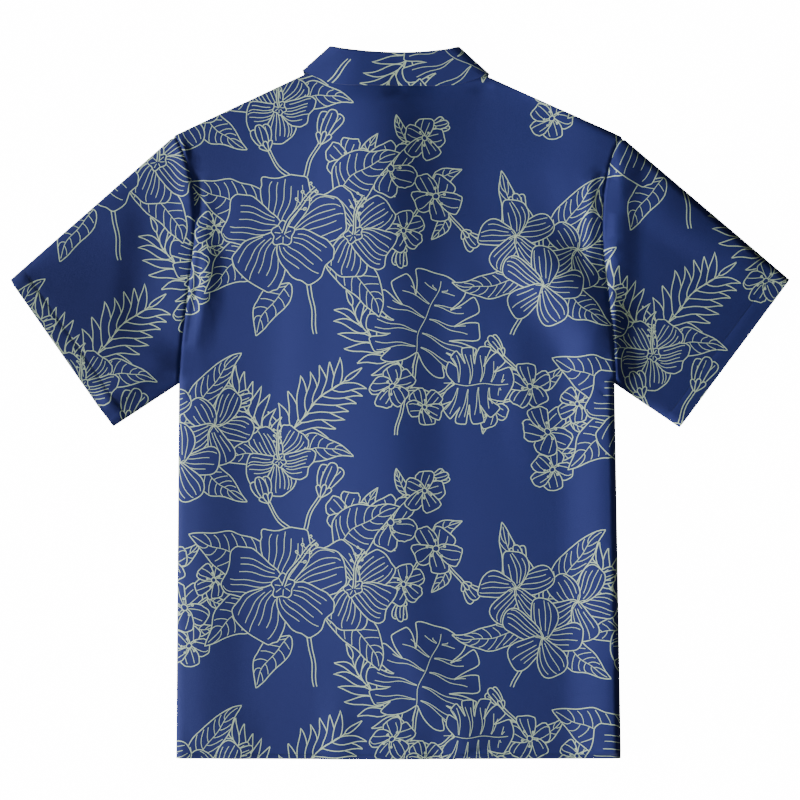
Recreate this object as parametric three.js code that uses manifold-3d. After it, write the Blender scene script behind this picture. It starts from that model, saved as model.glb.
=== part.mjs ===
// A short-sleeved Hawaiian shirt laid out on its front, so that its back and the fall of its collar face up.
// Millimetres. +X runs to the right across the back, +Y from the hem to the collar and +Z up from the surface
// that the shirt lies on. The origin is the middle of that surface.
// Every piece of cloth is a thin wall about a middle sheet. The back, the two fronts and the sleeves share one
// upper layer and one lower layer, which turn into each other along the closed edges of the outline: the sides,
// the shoulders and the long edges of the sleeves. The hem, the two cuffs and the neck are open.
import * as THREE from "three";
import { mergeVertices } from "three/addons/utils/BufferGeometryUtils.js";
import Module from "manifold-3d";

const wasm = await Module();
wasm.setup();

// Driving sizes
const CLOTH = 1.0; // wall of cloth
const SEAM_GAP = 0.62; // between two pieces that are sewn edge to edge
const UNDERARM_GAP = 0.5; // added to it at the underarm, where the sleeve turns away
const EDGE_LIFT = 0.47; // half the gap between back and front where they meet on a closed edge
const REST_LEVEL = CLOTH / 2; // middle of cloth that lies on the surface
const UPPER_LEVEL = 11; // middle of the upper layer where nothing folds it
const SLEEVE_DROP = 3; // how much lower the upper layer is at the cuffs
const ROLL = 9; // how far in from a closed edge the cloth has finished turning
const FRONT_LINE = -3; // X of the line that the buttons stand on
const OVERLAP = 15; // how far each front runs past the line of buttons
const FRONT_NECK = 283; // Y of the lowest point of the front neckline
const BACK_NECK = 345; // Y of the lowest point of the back neckline
const BUTTON = { radius: 5.75, thick: 2.5, bevel: 0.65, dish: 0.45, dishRadius: 3.6, rimRadius: 4.2 };
const BUTTON_HOLE = { radius: 0.9, reach: 1.6, sides: 6 };
const BUTTON_ROWS = [270, 170, 70, -30, -130, -230]; // Y of each button
const PLACKET = { flat: 17, end: 42 }; // half width of the strip that the buttons hold up, and where it is down again
const LAYER_STEP = 1.4; // from the middle of one layer of cloth to the middle of the next
const COLLAR_ROLL = 1.6; // radius of the fold along the top of the collar

// Corners of the outline on each side of the back
const OUTLINE = {
  left: {
    hem: [-242, -384.6],
    underarm: [-239, 21],
    cuffUnder: [-310.5, -25.5],
    cuffTop: [-421.5, 133],
    shoulder: [-243.5, 289],
    neck: [-89, 361.5],
  },
  right: {
    hem: [238.5, -384.6],
    underarm: [231.5, 21],
    cuffUnder: [302.5, -26.5],
    cuffTop: [421.5, 133],
    shoulder: [238.5, 288],
    neck: [84.5, 357],
  },
};
const ARMHOLE_DEPTH = { left: 20, right: 17.5 }; // how far the armhole seam bows towards the body

// The folds of the upper layer. Each runs from one point to another; bend bows it to the right of that walk,
// left and right are how far its two flanks reach, height is up or, below zero, down, and fadeIn and fadeOut
// are the shares of its length over which it comes and goes.
const FOLDS = [
  { name: "body swell", from: [-30, 420], to: [-10, -560], bend: 0, left: 230, right: 225, height: 6, fadeIn: 0.3, fadeOut: 0.3 },
  { name: "neck swell", from: [-95, 345], to: [95, 345], bend: 0, left: 60, right: 60, height: 4, fadeIn: 0.4, fadeOut: 0.3 },
  { name: "centre drape", from: [-22, 300], to: [12, -384], bend: 5, left: 70, right: 48, height: 6.5, fadeIn: 0.3, fadeOut: 0.02 },
  { name: "collar valley", from: [74, 368], to: [2, 120], bend: -6, left: 50, right: 52, height: -6.5, fadeIn: 0.12, fadeOut: 0.5 },
  { name: "left shoulder swell", from: [-110, 300], to: [-130, 170], bend: 0, left: 50, right: 50, height: 4, fadeIn: 0.3, fadeOut: 0.6 },
  { name: "right drag ridge", from: [66, 215], to: [226, 40], bend: -18, left: 44, right: 42, height: 7, fadeIn: 0.3, fadeOut: 0.14 },
  { name: "right drag hollow", from: [110, 240], to: [222, 120], bend: -10, left: 34, right: 34, height: -2.5, fadeIn: 0.4, fadeOut: 0.3 },
  { name: "right side ridge", from: [214, 100], to: [225, -384], bend: 2, left: 52, right: 34, height: 7, fadeIn: 0.16, fadeOut: 0.02 },
  { name: "left side ridge", from: [-229, 60], to: [-232, -320], bend: 0, left: 40, right: 48, height: 6, fadeIn: 0.15, fadeOut: 0.45 },
  { name: "left armhole groove", from: [-229, 268], to: [-239, 40], bend: 12, left: 14, right: 11, height: -5.5, fadeIn: 0.2, fadeOut: 0.4 },
  { name: "left armhole ridge", from: [-205, 275], to: [-224, 80], bend: 10, left: 12, right: 15, height: 4, fadeIn: 0.2, fadeOut: 0.4 },
  { name: "left sleeve head", from: [-249, 262], to: [-253, 60], bend: 6, left: 22, right: 12, height: 4, fadeIn: 0.2, fadeOut: 0.3 },
  { name: "right sleeve head", from: [228, 265], to: [231, 70], bend: -9, left: 24, right: 11, height: 6, fadeIn: 0.15, fadeOut: 0.3 },
  { name: "right armhole ridge", from: [190, 272], to: [212, 140], bend: -3, left: 11, right: 14, height: 3.5, fadeIn: 0.2, fadeOut: 0.4 },
  { name: "left sleeve underside", from: [-322, -8], to: [-236, 56], bend: 0, left: 34, right: 18, height: 5, fadeIn: 0.12, fadeOut: 0.3 },
  { name: "left sleeve slope", from: [-425, 150], to: [-235, 310], bend: 0, left: 30, right: 52, height: -2.5, fadeIn: 0.1, fadeOut: 0.3 },
  { name: "right sleeve crest", from: [248, 235], to: [400, 140], bend: 4, left: 40, right: 34, height: 3, fadeIn: 0.3, fadeOut: 0.2 },
  { name: "right sleeve hollow", from: [236, 60], to: [300, 40], bend: 0, left: 24, right: 24, height: -2.5, fadeIn: 0.3, fadeOut: 0.5 },
  { name: "hem wave left", from: [-170, -310], to: [-176, -390], bend: 0, left: 26, right: 26, height: 1.8, fadeIn: 0.7, fadeOut: 0.02 },
  { name: "hem wave middle", from: [-66, -280], to: [-66, -390], bend: 0, left: 24, right: 24, height: 2.5, fadeIn: 0.7, fadeOut: 0.02 },
  { name: "hem dip", from: [40, -290], to: [48, -390], bend: 0, left: 26, right: 26, height: -2.5, fadeIn: 0.7, fadeOut: 0.02 },
  { name: "left long swell", from: [-80, 190], to: [-92, -120], bend: 8, left: 34, right: 28, height: 2.5, fadeIn: 0.4, fadeOut: 0.5 },
  { name: "right long swell", from: [120, 120], to: [150, -120], bend: 6, left: 30, right: 26, height: 2, fadeIn: 0.4, fadeOut: 0.5 },
  { name: "low centre hollow", from: [30, -150], to: [72, -384], bend: -8, left: 40, right: 40, height: -3, fadeIn: 0.5, fadeOut: 0.02 },
];

const lerp = THREE.MathUtils.lerp;
const clamp01 = (t) => Math.min(1, Math.max(0, t));
const smooth = (t) => clamp01(t) ** 2 * (3 - 2 * clamp01(t));
const between = ([ax, ay], [bx, by], t) => [lerp(ax, bx, t), lerp(ay, by, t)];

// How far a point is from the stretch between two corners
function distanceToStretch([x, y], [ax, ay], [bx, by]) {
  const dx = bx - ax;
  const dy = by - ay;
  const t = clamp01(((x - ax) * dx + (y - ay) * dy) / (dx * dx + dy * dy));
  return Math.hypot(x - ax - t * dx, y - ay - t * dy);
}

const CLOSED_EDGES = Object.values(OUTLINE).flatMap((side) => [
  [side.hem, side.underarm],
  [side.underarm, side.cuffUnder],
  [side.cuffTop, side.shoulder],
  [side.shoulder, side.neck],
]);

// 0 on a closed edge, rising as a quarter circle to 1 where the cloth has finished turning
function turned(point) {
  const away = Math.min(...CLOSED_EDGES.map(([a, b]) => distanceToStretch(point, a, b)));
  return Math.sqrt(1 - (1 - clamp01(away / ROLL)) ** 2);
}

function foldHeight(fold, [x, y]) {
  const [dx, dy] = [fold.to[0] - fold.from[0], fold.to[1] - fold.from[1]];
  const length = Math.hypot(dx, dy);
  const [px, py] = [x - fold.from[0], y - fold.from[1]];
  const along = (px * dx + py * dy) / length ** 2;
  if (along <= 0 || along >= 1) return 0;
  const across = (px * dy - py * dx) / length - fold.bend * 4 * along * (1 - along);
  const share = Math.min(1, Math.abs(across) / (across > 0 ? fold.right : fold.left));
  return fold.height * smooth(along / fold.fadeIn) * smooth((1 - along) / fold.fadeOut) * (1 - share ** 2) ** 2;
}

// Height of the upper layer away from the closed edges, without its folds
function calmLevel([x]) {
  const { left, right } = OUTLINE;
  const out = Math.max((left.underarm[0] - x) / (left.underarm[0] - left.cuffTop[0]), (x - right.underarm[0]) / (right.cuffTop[0] - right.underarm[0]));
  return UPPER_LEVEL - SLEEVE_DROP * clamp01(out);
}

// Height of the closed edges, half way between the layers
const seamLevel = (point) => (calmLevel(point) + REST_LEVEL) / 2;

function upperLevel(point, lift = 0) {
  const seam = seamLevel(point) + lift;
  const full = FOLDS.reduce((height, fold) => height + foldHeight(fold, point), calmLevel(point));
  return seam + (full - seam) * turned(point);
}

// How high the lower layer is held off the surface by the buttons and by the collar under it
function heldUp([x, y]) {
  const off = Math.abs(x - FRONT_LINE);
  const strip = 1 - smooth((off - PLACKET.flat) / (PLACKET.end - PLACKET.flat));
  const belowLast = smooth((y - BUTTON_ROWS.at(-1) + 110) / 80);
  const buttons = (BUTTON.thick + 0.3) * strip * belowLast;
  const ring = Math.hypot((x - FRONT_LINE) / 138, (y - 335) / 116);
  const collar = LAYER_STEP * (1 - smooth((ring - 1) / 0.25));
  return Math.max(buttons, collar);
}

function lowerLevel(point, above = 0, lift = 0) {
  const seam = seamLevel(point) - lift;
  const full = REST_LEVEL + heldUp(point) + above;
  return seam + (full - seam) * turned(point);
}

// The right front lies on the left one wherever the two overlap
const overLeftFront = ([x]) => LAYER_STEP * (1 - smooth((x - FRONT_LINE - OVERLAP - 2) / 12));

// The armhole seam, from the shoulder at 0 to the underarm at 1
function armhole(side, share) {
  const [x, y] = between(OUTLINE[side].shoulder, OUTLINE[side].underarm, share);
  const inward = side === "left" ? 1 : -1;
  return [x + inward * ARMHOLE_DEPTH[side] * Math.sin(Math.PI * share ** 0.61) ** 1.5, y];
}

// Necklines, as heights over the share of the way from the middle of the neck to its side
const backNeck = (side, share) => lerp(BACK_NECK, OUTLINE[side].neck[1], share ** 2.4);
const frontNeck = (side, share) => lerp(FRONT_NECK, OUTLINE[side].neck[1], share ** 2.2);
const neckX = (side, share) => lerp(FRONT_LINE, OUTLINE[side].neck[0], share);

// Top edge of a body panel at x: shoulder seam, then the given neckline
function topEdge(x, neckline) {
  const side = x < FRONT_LINE ? "left" : "right";
  const { shoulder, neck } = OUTLINE[side];
  const share = (x - FRONT_LINE) / (neck[0] - FRONT_LINE);
  if (share <= 1) return neckline(side, share);
  return lerp(neck[1], shoulder[1], (x - neck[0]) / (shoulder[0] - neck[0]));
}

// A closed wall about a sheet of points, given row by row. closed joins each row's end to its start.
function clothWall(sheet, closed = false, thickness = CLOTH) {
  const rows = sheet.length;
  const columns = sheet[0].length;
  const faces = [];
  for (let j = 0; j < rows - 1; j++)
    for (let i = 0; i < (closed ? columns : columns - 1); i++) faces.push([j, i, (i + 1) % columns]);
  const normals = sheet.map((row) => row.map(() => new THREE.Vector3()));
  for (const [j, i, next] of faces) {
    const across = sheet[j + 1][next].clone().sub(sheet[j][i]);
    const other = sheet[j + 1][i].clone().sub(sheet[j][next]);
    const normal = across.cross(other).normalize();
    for (const corner of [normals[j][i], normals[j][next], normals[j + 1][i], normals[j + 1][next]]) corner.add(normal);
  }
  const positions = [];
  for (const sign of [1, -1])
    sheet.forEach((row, j) =>
      row.forEach((point, i) => {
        const out = normals[j][i].normalize().clone().multiplyScalar((sign * thickness) / 2);
        positions.push(...point.clone().add(out).toArray());
      }),
    );
  const at = (j, i, under) => j * columns + (i % columns) + (under ? rows * columns : 0);
  const index = [];
  const quad = (a, b, c, d) => index.push(a, b, c, a, c, d);
  for (const [j, i, next] of faces) {
    quad(at(j, i), at(j, next), at(j + 1, next), at(j + 1, i));
    quad(at(j, i, true), at(j + 1, i, true), at(j + 1, next, true), at(j, next, true));
  }
  for (let i = 0; i < (closed ? columns : columns - 1); i++) {
    quad(at(0, i), at(0, i, true), at(0, i + 1, true), at(0, i + 1));
    quad(at(rows - 1, i), at(rows - 1, i + 1), at(rows - 1, i + 1, true), at(rows - 1, i, true));
  }
  for (let j = 0; !closed && j < rows - 1; j++) {
    quad(at(j, 0), at(j + 1, 0), at(j + 1, 0, true), at(j, 0, true));
    quad(at(j, columns - 1), at(j, columns - 1, true), at(j + 1, columns - 1, true), at(j + 1, columns - 1));
  }
  const geometry = new THREE.BufferGeometry();
  geometry.setAttribute("position", new THREE.Float32BufferAttribute(positions, 3));
  geometry.setIndex(index);
  geometry.computeVertexNormals();
  return geometry;
}

// Stations, close together where the cloth turns at a closed edge
const TURN = [0, 30, 60, 90].map((degrees) => ROLL * (1 - Math.cos(THREE.MathUtils.degToRad(degrees))));
const ARMHOLE_LENGTH = OUTLINE.left.shoulder[1] - OUTLINE.left.underarm[1];
const ARMHOLE_STEPS = [...TURN, 20, 38, 60, 84, 108, 132, 156, 180, 204, 224, 242, ...TURN.map((d) => ARMHOLE_LENGTH - d).reverse()];
const ARMHOLE_SHARES = ARMHOLE_STEPS.map((d) => d / ARMHOLE_LENGTH);
const HEM_RISE = 7; // from the hem to the first row of points above it
const BACK_ROWS = [0, HEM_RISE, 28, 56, 88, 122, 158, 194, 230, 266, 302, 338, 372];
const FRONT_ROWS = [0, HEM_RISE, 80, 154, 230, 305, 372];
const NECK_RUN = FRONT_LINE - OUTLINE.left.neck[0];
const FRONT_NECK_SLOPE = 2.3; // length of the front neckline for each millimetre across, at the shoulder
const BACK_NECK_SHARES = [...TURN.map((d) => 1 - d / NECK_RUN), 0.8, 0.62, 0.42, 0.2];
const FRONT_NECK_SHARES = [...TURN.map((d) => 1 - d / NECK_RUN / FRONT_NECK_SLOPE), ...[73, 58, PLACKET.end, 30, PLACKET.flat].map((d) => d / NECK_RUN)];

// A body panel between two curves at its sides, from hem to shoulder
function bodyPanel(columnsX, sideEdge, rowsUp, neckline, level) {
  const { shoulder } = OUTLINE.left;
  const bottom = OUTLINE.left.hem[1];
  const underarm = OUTLINE.left.underarm[1];
  const first = columnsX[0];
  const last = columnsX.at(-1);
  const shares = columnsX.map((x) => (x - first) / (last - first));
  const rows = rowsUp.map((up) => ({ y: () => bottom + up, edge: (bottom + up - bottom) / (underarm - bottom) - 1 }));
  for (const share of [...ARMHOLE_SHARES].reverse())
    rows.push({ y: (k) => lerp(topEdge(columnsX[k], neckline), underarm, share), edge: 1 - share });
  return clothWall(
    rows.map(({ y, edge }) => {
      const [left, right] = sideEdge(edge);
      return shares.map((share, k) => {
        const point = [lerp(left, right, share), y(k)];
        return new THREE.Vector3(...point, level(point));
      });
    }),
  );
}

// X of a side: edge runs from -1 at the hem through 0 at the underarm to 1 at the shoulder
function sideX(side, edge) {
  const { hem, underarm } = OUTLINE[side];
  return edge < 0 ? lerp(underarm[0], hem[0], -edge) : armhole(side, 1 - edge)[0];
}

const EDGE_COLUMNS = [...TURN, 16, 23, 31, 42, 58];
const FRONT_EDGE_COLUMNS = [...TURN, 34];
const SHOULDER_COLUMNS = [86, 114, 138];

function backPanel() {
  const { left, right } = OUTLINE;
  const columns = [
    ...[...EDGE_COLUMNS, ...SHOULDER_COLUMNS].map((d) => left.shoulder[0] + d),
    ...BACK_NECK_SHARES.map((share) => neckX("left", share)),
    FRONT_LINE,
    ...BACK_NECK_SHARES.map((share) => neckX("right", share)).reverse(),
    ...[...EDGE_COLUMNS, ...SHOULDER_COLUMNS].map((d) => right.shoulder[0] - d).reverse(),
  ];
  const edges = (edge) => [sideX("left", edge), sideX("right", edge)];
  return bodyPanel(columns, edges, BACK_ROWS, backNeck, (point) => upperLevel(point, EDGE_LIFT));
}

function frontPanel(side) {
  const own = OUTLINE[side];
  const out = side === "left" ? -1 : 1;
  const columns = [
    ...[...FRONT_EDGE_COLUMNS, 90].map((d) => own.shoulder[0] - out * d),
    ...FRONT_NECK_SHARES.map((share) => neckX(side, share)),
    FRONT_LINE,
    FRONT_LINE - out * OVERLAP,
  ];
  const open = FRONT_LINE - out * OVERLAP;
  const level = side === "left" ? (point) => lowerLevel(point, 0, EDGE_LIFT) : (point) => lowerLevel(point, overLeftFront(point), EDGE_LIFT);
  const neckline = (at, share) => frontNeck(at, share);
  if (side === "left") return bodyPanel(columns, (edge) => [sideX("left", edge), open], FRONT_ROWS, neckline, level);
  return bodyPanel(columns.reverse(), (edge) => [open, sideX("right", edge)], FRONT_ROWS, neckline, level);
}

// A sleeve is one piece, folded along its top edge and sewn along the underarm
const SLEEVE_ROWS = [0, 0.035, 0.085, 0.15, 0.24, 0.36, 0.49, 0.62, 0.75, 0.86, 0.94, 1];

function sleeve(side) {
  const own = OUTLINE[side];
  const out = side === "left" ? -1 : 1;
  const place = (share, run) => {
    const [sx, sy] = armhole(side, share);
    return between([sx + out * (SEAM_GAP + UNDERARM_GAP * share ** 8), sy], between(own.cuffTop, own.cuffUnder, share), run);
  };
  const overAndUnder = [
    ...ARMHOLE_SHARES.map((share) => ({ share, level: (point) => upperLevel(point) })),
    ...ARMHOLE_SHARES.slice(1, -1).reverse().map((share) => ({ share, level: (point) => lowerLevel(point) })),
  ];
  if (side === "right") overAndUnder.reverse();
  return clothWall(
    SLEEVE_ROWS.map((run) =>
      overAndUnder.map(({ share, level }) => {
        const point = place(share, run);
        return new THREE.Vector3(...point, level(point));
      }),
    ).reverse(),
    true,
  );
}

// The collar. Each row is a place on half the ring round the neck: first from the middle of the back to the
// side, then the turn at the side, then from there to the front end. share is how far along the back or front
// stretch it is, and turn the angle of the cloth's outward side above the flat.
const HALF_RING = [
  ...[0, 0.2, 0.42, 0.62, 0.8].map((share) => ({ stretch: "back", share, turn: 90 })),
  ...[90, 60, 30, 0].map((turn) => ({ stretch: "back", turn })),
  ...[-30, -60, -90].map((turn) => ({ stretch: "front", turn })),
  ...[0.14, 0.3, 0.5, 0.75, 0.985].map((share) => ({ stretch: "front", share, turn: -90 })),
];

// Corners of the collar as it lies, by side: the ends of the fold along its top, and of its outer edge
const COLLAR = {
  left: { foldEnd: [-74, 382], edgeEnd: [-105.5, 359], point: [-68, 256] },
  right: { foldEnd: [62, 381.6], edgeEnd: [96.4, 355.2], point: [60, 255] },
};
const COLLAR_MIDDLE = -6; // X of the middle of the collar's fold
const FOLD_DIP = 375.4; // Y of the stand's top edge at the middle of the back
const FRONT_FOLD = 305; // Y of the stand's top edge at the front
const EDGE_MIDDLE = 341.5; // Y of the collar's outer edge across the back
const STAND_BACK_LEVEL = 15.6;
const FALL_EDGE_LEVEL = 17.5; // at the sides
const NECK_SEAM_GAP = 0.72; // between the collar stand and the panels, along the stand
const STAND_SHARES = [0, 0.5, 0.978]; // rows of the stand, from the neck seam to just under the fold
const FALL_OVER_BACK = 2; // between the middles of the two where the fall lies on the back
const STAND_FRONT_LEVEL = REST_LEVEL + 2 * COLLAR_ROLL;

// A place on one of the collar's rings. The ring has a back stretch and a front stretch, each a curve over its
// share, and its two heights.
function ringPoint({ back, front, run, top, bottom }, { stretch, share, turn }) {
  const angle = THREE.MathUtils.degToRad(turn);
  const turnShare = (ROLL * (1 - Math.cos(angle))) / run[stretch];
  const along = share ?? (stretch === "back" ? 1 - turnShare : turnShare);
  const [x, y] = stretch === "back" ? back(along) : front(along);
  return new THREE.Vector3(x, y, lerp(bottom(x, y, along), top(x, y), (1 + Math.sin(angle)) / 2));
}

function collarRings(side) {
  const { foldEnd, edgeEnd, point } = COLLAR[side];
  const own = OUTLINE[side].neck;
  const panelFront = side === "left" ? 0 : 1;
  const neck = {
    back: (t) => [neckX(side, t), backNeck(side, t)],
    front: (t) => [neckX(side, 1 - t), frontNeck(side, 1 - t)],
    run: { back: NECK_RUN, front: NECK_RUN * FRONT_NECK_SLOPE },
    top: (x, y) => upperLevel([x, y]) ,
    bottom: (x, y) => lowerLevel([x, y], panelFront * overLeftFront([x, y])),
  };
  const fold = {
    back: (t) => [lerp(COLLAR_MIDDLE, foldEnd[0], t), lerp(FOLD_DIP, foldEnd[1], t ** 2)],
    front: (t) => between(foldEnd, [FRONT_LINE, FRONT_FOLD], t),
    run: { back: 70, front: 105 },
    top: () => STAND_BACK_LEVEL,
    bottom: () => STAND_FRONT_LEVEL,
  };
  const edge = {
    back: (t) => [lerp(COLLAR_MIDDLE, edgeEnd[0], t), lerp(EDGE_MIDDLE, edgeEnd[1], clamp01((t - 0.45) / 0.55) ** 2)],
    front: (t) => between(edgeEnd, point, t),
    run: { back: 100, front: 108 },
    top: (x, y) => Math.max(FALL_EDGE_LEVEL, upperLevel([x, y]) + FALL_OVER_BACK),
    bottom: () => REST_LEVEL,
  };
  return { neck, fold, edge, own };
}

// For each place round the neck: the points on the three rings, the way up the stand and the way outwards
function collarRibs() {
  const half = (side) => {
    const { neck, fold, edge } = collarRings(side);
    return HALF_RING.map((place) => {
      const angle = THREE.MathUtils.degToRad(place.turn);
      const low = ringPoint(neck, place);
      const high = ringPoint(fold, place);
      const outer = ringPoint(edge, place);
      const up = high.clone().sub(low).normalize();
      const flat = new THREE.Vector3(up.y, -up.x, 0).multiplyScalar(side === "left" ? -1 : 1).normalize();
      const out = flat.multiplyScalar(Math.cos(angle)).add(new THREE.Vector3(0, 0, Math.sin(angle)));
      out.addScaledVector(up, -out.dot(up)).normalize();
      return { low, high, outer, up, out };
    });
  };
  return [...half("left").reverse().slice(0, -1), ...half("right")];
}

function collarStand() {
  const ribs = collarRibs();
  return clothWall(
    STAND_SHARES.map((t) => ribs.map(({ low, high, up }) => low.clone().addScaledVector(up, NECK_SEAM_GAP).lerp(high, t))),
  );
}

const FOLD_ANGLES = [22, 56, 90, 130, 170];
const FALL_SHARES = [0.12, 0.35, 0.6, 0.82, 1];

function collarFall() {
  const ribs = collarRibs();
  const rolled = FOLD_ANGLES.map((degrees) => {
    const angle = THREE.MathUtils.degToRad(degrees);
    return ribs.map(({ high, up, out }) =>
      high
        .clone()
        .addScaledVector(up, COLLAR_ROLL * Math.sin(angle))
        .addScaledVector(out, COLLAR_ROLL * (1 - Math.cos(angle))),
    );
  });
  const fallen = FALL_SHARES.map((t) =>
    ribs.map(({ high, out, outer }) => high.clone().addScaledVector(out, 2 * COLLAR_ROLL).lerp(outer, t)),
  );
  return clothWall([...rolled, ...fallen]);
}

// A mesh's geometry as a solid for cutting, and back again
function toSolid(geometry) {
  const bare = geometry.clone();
  bare.deleteAttribute("normal");
  bare.deleteAttribute("uv");
  const merged = mergeVertices(bare, 1e-4);
  return new wasm.Manifold(
    new wasm.Mesh({
      numProp: 3,
      vertProperties: new Float32Array(merged.attributes.position.array),
      triVerts: new Uint32Array(merged.index.array),
    }),
  );
}

function toGeometry(solid) {
  const { vertProperties, triVerts } = solid.getMesh();
  const geometry = new THREE.BufferGeometry();
  geometry.setAttribute("position", new THREE.BufferAttribute(vertProperties, 3));
  geometry.setIndex(new THREE.BufferAttribute(triVerts, 1));
  geometry.computeVertexNormals();
  return geometry;
}

// A four-hole button with a dished face, which lies on the surface
function buttonGeometry() {
  const { radius, thick, bevel, dish, dishRadius, rimRadius } = BUTTON;
  const profile = [
    [0, dish],
    [dishRadius, dish],
    [rimRadius, 0],
    [radius - bevel, 0],
    [radius, bevel],
    [radius, thick - bevel],
    [radius - bevel, thick],
    [0, thick],
  ].map(([r, z]) => new THREE.Vector2(r, z));
  let solid = toSolid(new THREE.LatheGeometry(profile, 16).rotateX(Math.PI / 2));
  for (const [i, j] of [[-1, -1], [-1, 1], [1, -1], [1, 1]]) {
    const drill = new THREE.CylinderGeometry(BUTTON_HOLE.radius, BUTTON_HOLE.radius, 4 * thick, BUTTON_HOLE.sides);
    drill.rotateX(Math.PI / 2).translate(i * BUTTON_HOLE.reach, j * BUTTON_HOLE.reach, 0);
    solid = solid.subtract(toSolid(drill));
  }
  return toGeometry(solid);
}

const printedCloth = new THREE.MeshStandardMaterial({ color: 0x2b4590, roughness: 0.72, metalness: 0 });
const buttonShell = new THREE.MeshStandardMaterial({ color: 0x2a3a70, roughness: 0.3, metalness: 0 });

const shirt = new THREE.Group();

function addPiece(name, geometry, material, position = [0, 0, 0]) {
  const piece = new THREE.Mesh(geometry, material);
  piece.name = name;
  piece.position.set(...position);
  shirt.add(piece);
}

addPiece("back", backPanel(), printedCloth);
addPiece("front_left", frontPanel("left"), printedCloth);
addPiece("front_right", frontPanel("right"), printedCloth);
addPiece("sleeve_left", sleeve("left"), printedCloth);
addPiece("sleeve_right", sleeve("right"), printedCloth);
addPiece("collar_stand", collarStand(), printedCloth);
addPiece("collar_fall", collarFall(), printedCloth);
BUTTON_ROWS.forEach((y, i) => addPiece(`button_${i + 1}`, buttonGeometry(), buttonShell, [FRONT_LINE, y, 0]));

export default shirt;
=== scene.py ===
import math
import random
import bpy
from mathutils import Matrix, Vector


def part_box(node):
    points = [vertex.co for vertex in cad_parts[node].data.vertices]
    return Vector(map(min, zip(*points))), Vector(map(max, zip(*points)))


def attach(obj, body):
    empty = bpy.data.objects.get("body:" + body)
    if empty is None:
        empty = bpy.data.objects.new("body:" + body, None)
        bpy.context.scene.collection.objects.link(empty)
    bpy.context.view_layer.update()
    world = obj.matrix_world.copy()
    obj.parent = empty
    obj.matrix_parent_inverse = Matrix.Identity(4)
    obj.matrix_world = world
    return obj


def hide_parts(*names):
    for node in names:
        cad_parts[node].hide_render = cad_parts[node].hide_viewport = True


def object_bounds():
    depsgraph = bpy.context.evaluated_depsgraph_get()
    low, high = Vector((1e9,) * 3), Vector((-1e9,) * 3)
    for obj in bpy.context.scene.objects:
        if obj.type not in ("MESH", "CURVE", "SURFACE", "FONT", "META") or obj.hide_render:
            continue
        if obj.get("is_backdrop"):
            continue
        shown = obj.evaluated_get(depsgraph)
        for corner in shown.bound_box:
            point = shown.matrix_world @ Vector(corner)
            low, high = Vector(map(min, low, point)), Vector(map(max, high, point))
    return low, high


bl_info = {
    "name": "Hawaiian shirt laid on its front",
    "version": (1, 0, 0),
    "blender": (4, 5, 0),
    "location": "3D View > Sidebar > Shirt",
    "description": "The printed cloth, seams, stitching and buttons of a short-sleeved Hawaiian shirt",
    "category": "Add Mesh",
}

import bmesh
import bpy
import numpy as np
from bpy.props import FloatProperty, FloatVectorProperty, IntProperty, PointerProperty
from mathutils import Vector
from mathutils.geometry import delaunay_2d_cdt

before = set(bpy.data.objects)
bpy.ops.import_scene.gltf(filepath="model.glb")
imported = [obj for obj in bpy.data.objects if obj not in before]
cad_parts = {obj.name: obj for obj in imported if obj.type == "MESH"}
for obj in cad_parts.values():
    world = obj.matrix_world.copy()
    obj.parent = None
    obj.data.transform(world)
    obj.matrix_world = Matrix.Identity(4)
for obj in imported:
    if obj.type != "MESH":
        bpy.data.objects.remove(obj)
CAD_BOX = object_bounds()

# The shirt is worked out in millimetres, and each mesh is made in metres.
MM = 0.001
BUTTONS = sorted(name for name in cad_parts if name.startswith("button_"))


def middle_of(node):
    low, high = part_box(node)
    return [(a + b) / 2 / MM for a, b in zip(low, high)]


# The shirt as it lies. +X runs to the right across the back and +Y from the hem to the collar.
EDGE_LIFT = 0.47
REST_LEVEL = 0.5
UPPER_LEVEL = 11
LOWEST_UPPER = 5.5
SLEEVE_DROP = 3
ROLL = 9
FRONT_LINE = -3
OVERLAP = 15
FRONT_NECK = 283
FRONT_NECK_POWER = 2.2
BACK_NECK = 345
BACK_NECK_POWER = 2.4
PLACKET_FLAT = 17
PLACKET_END = 42
BUTTON_THICK = 2.5
LOWEST_BUTTON = -230
LAYER_STEP = 1.4
SEAM_GAP = 0.14
UNDERARM_GAP = 0.5
HEM_LEVEL = -384.6
ARMHOLE_DEPTH = {"left": 20, "right": 17.5}
INWARD = {"left": 1, "right": -1}
CORNERS = {
    "left": {
        "hem": (-242, HEM_LEVEL),
        "underarm": (-239, 21),
        "cuff_under": (-310.5, -25.5),
        "cuff_top": (-421.5, 133),
        "shoulder": (-243.5, 289),
        "neck": (-89, 361.5),
    },
    "right": {
        "hem": (238.5, HEM_LEVEL),
        "underarm": (231.5, 21),
        "cuff_under": (302.5, -26.5),
        "cuff_top": (421.5, 133),
        "shoulder": (238.5, 288),
        "neck": (84.5, 357),
    },
}

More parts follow.
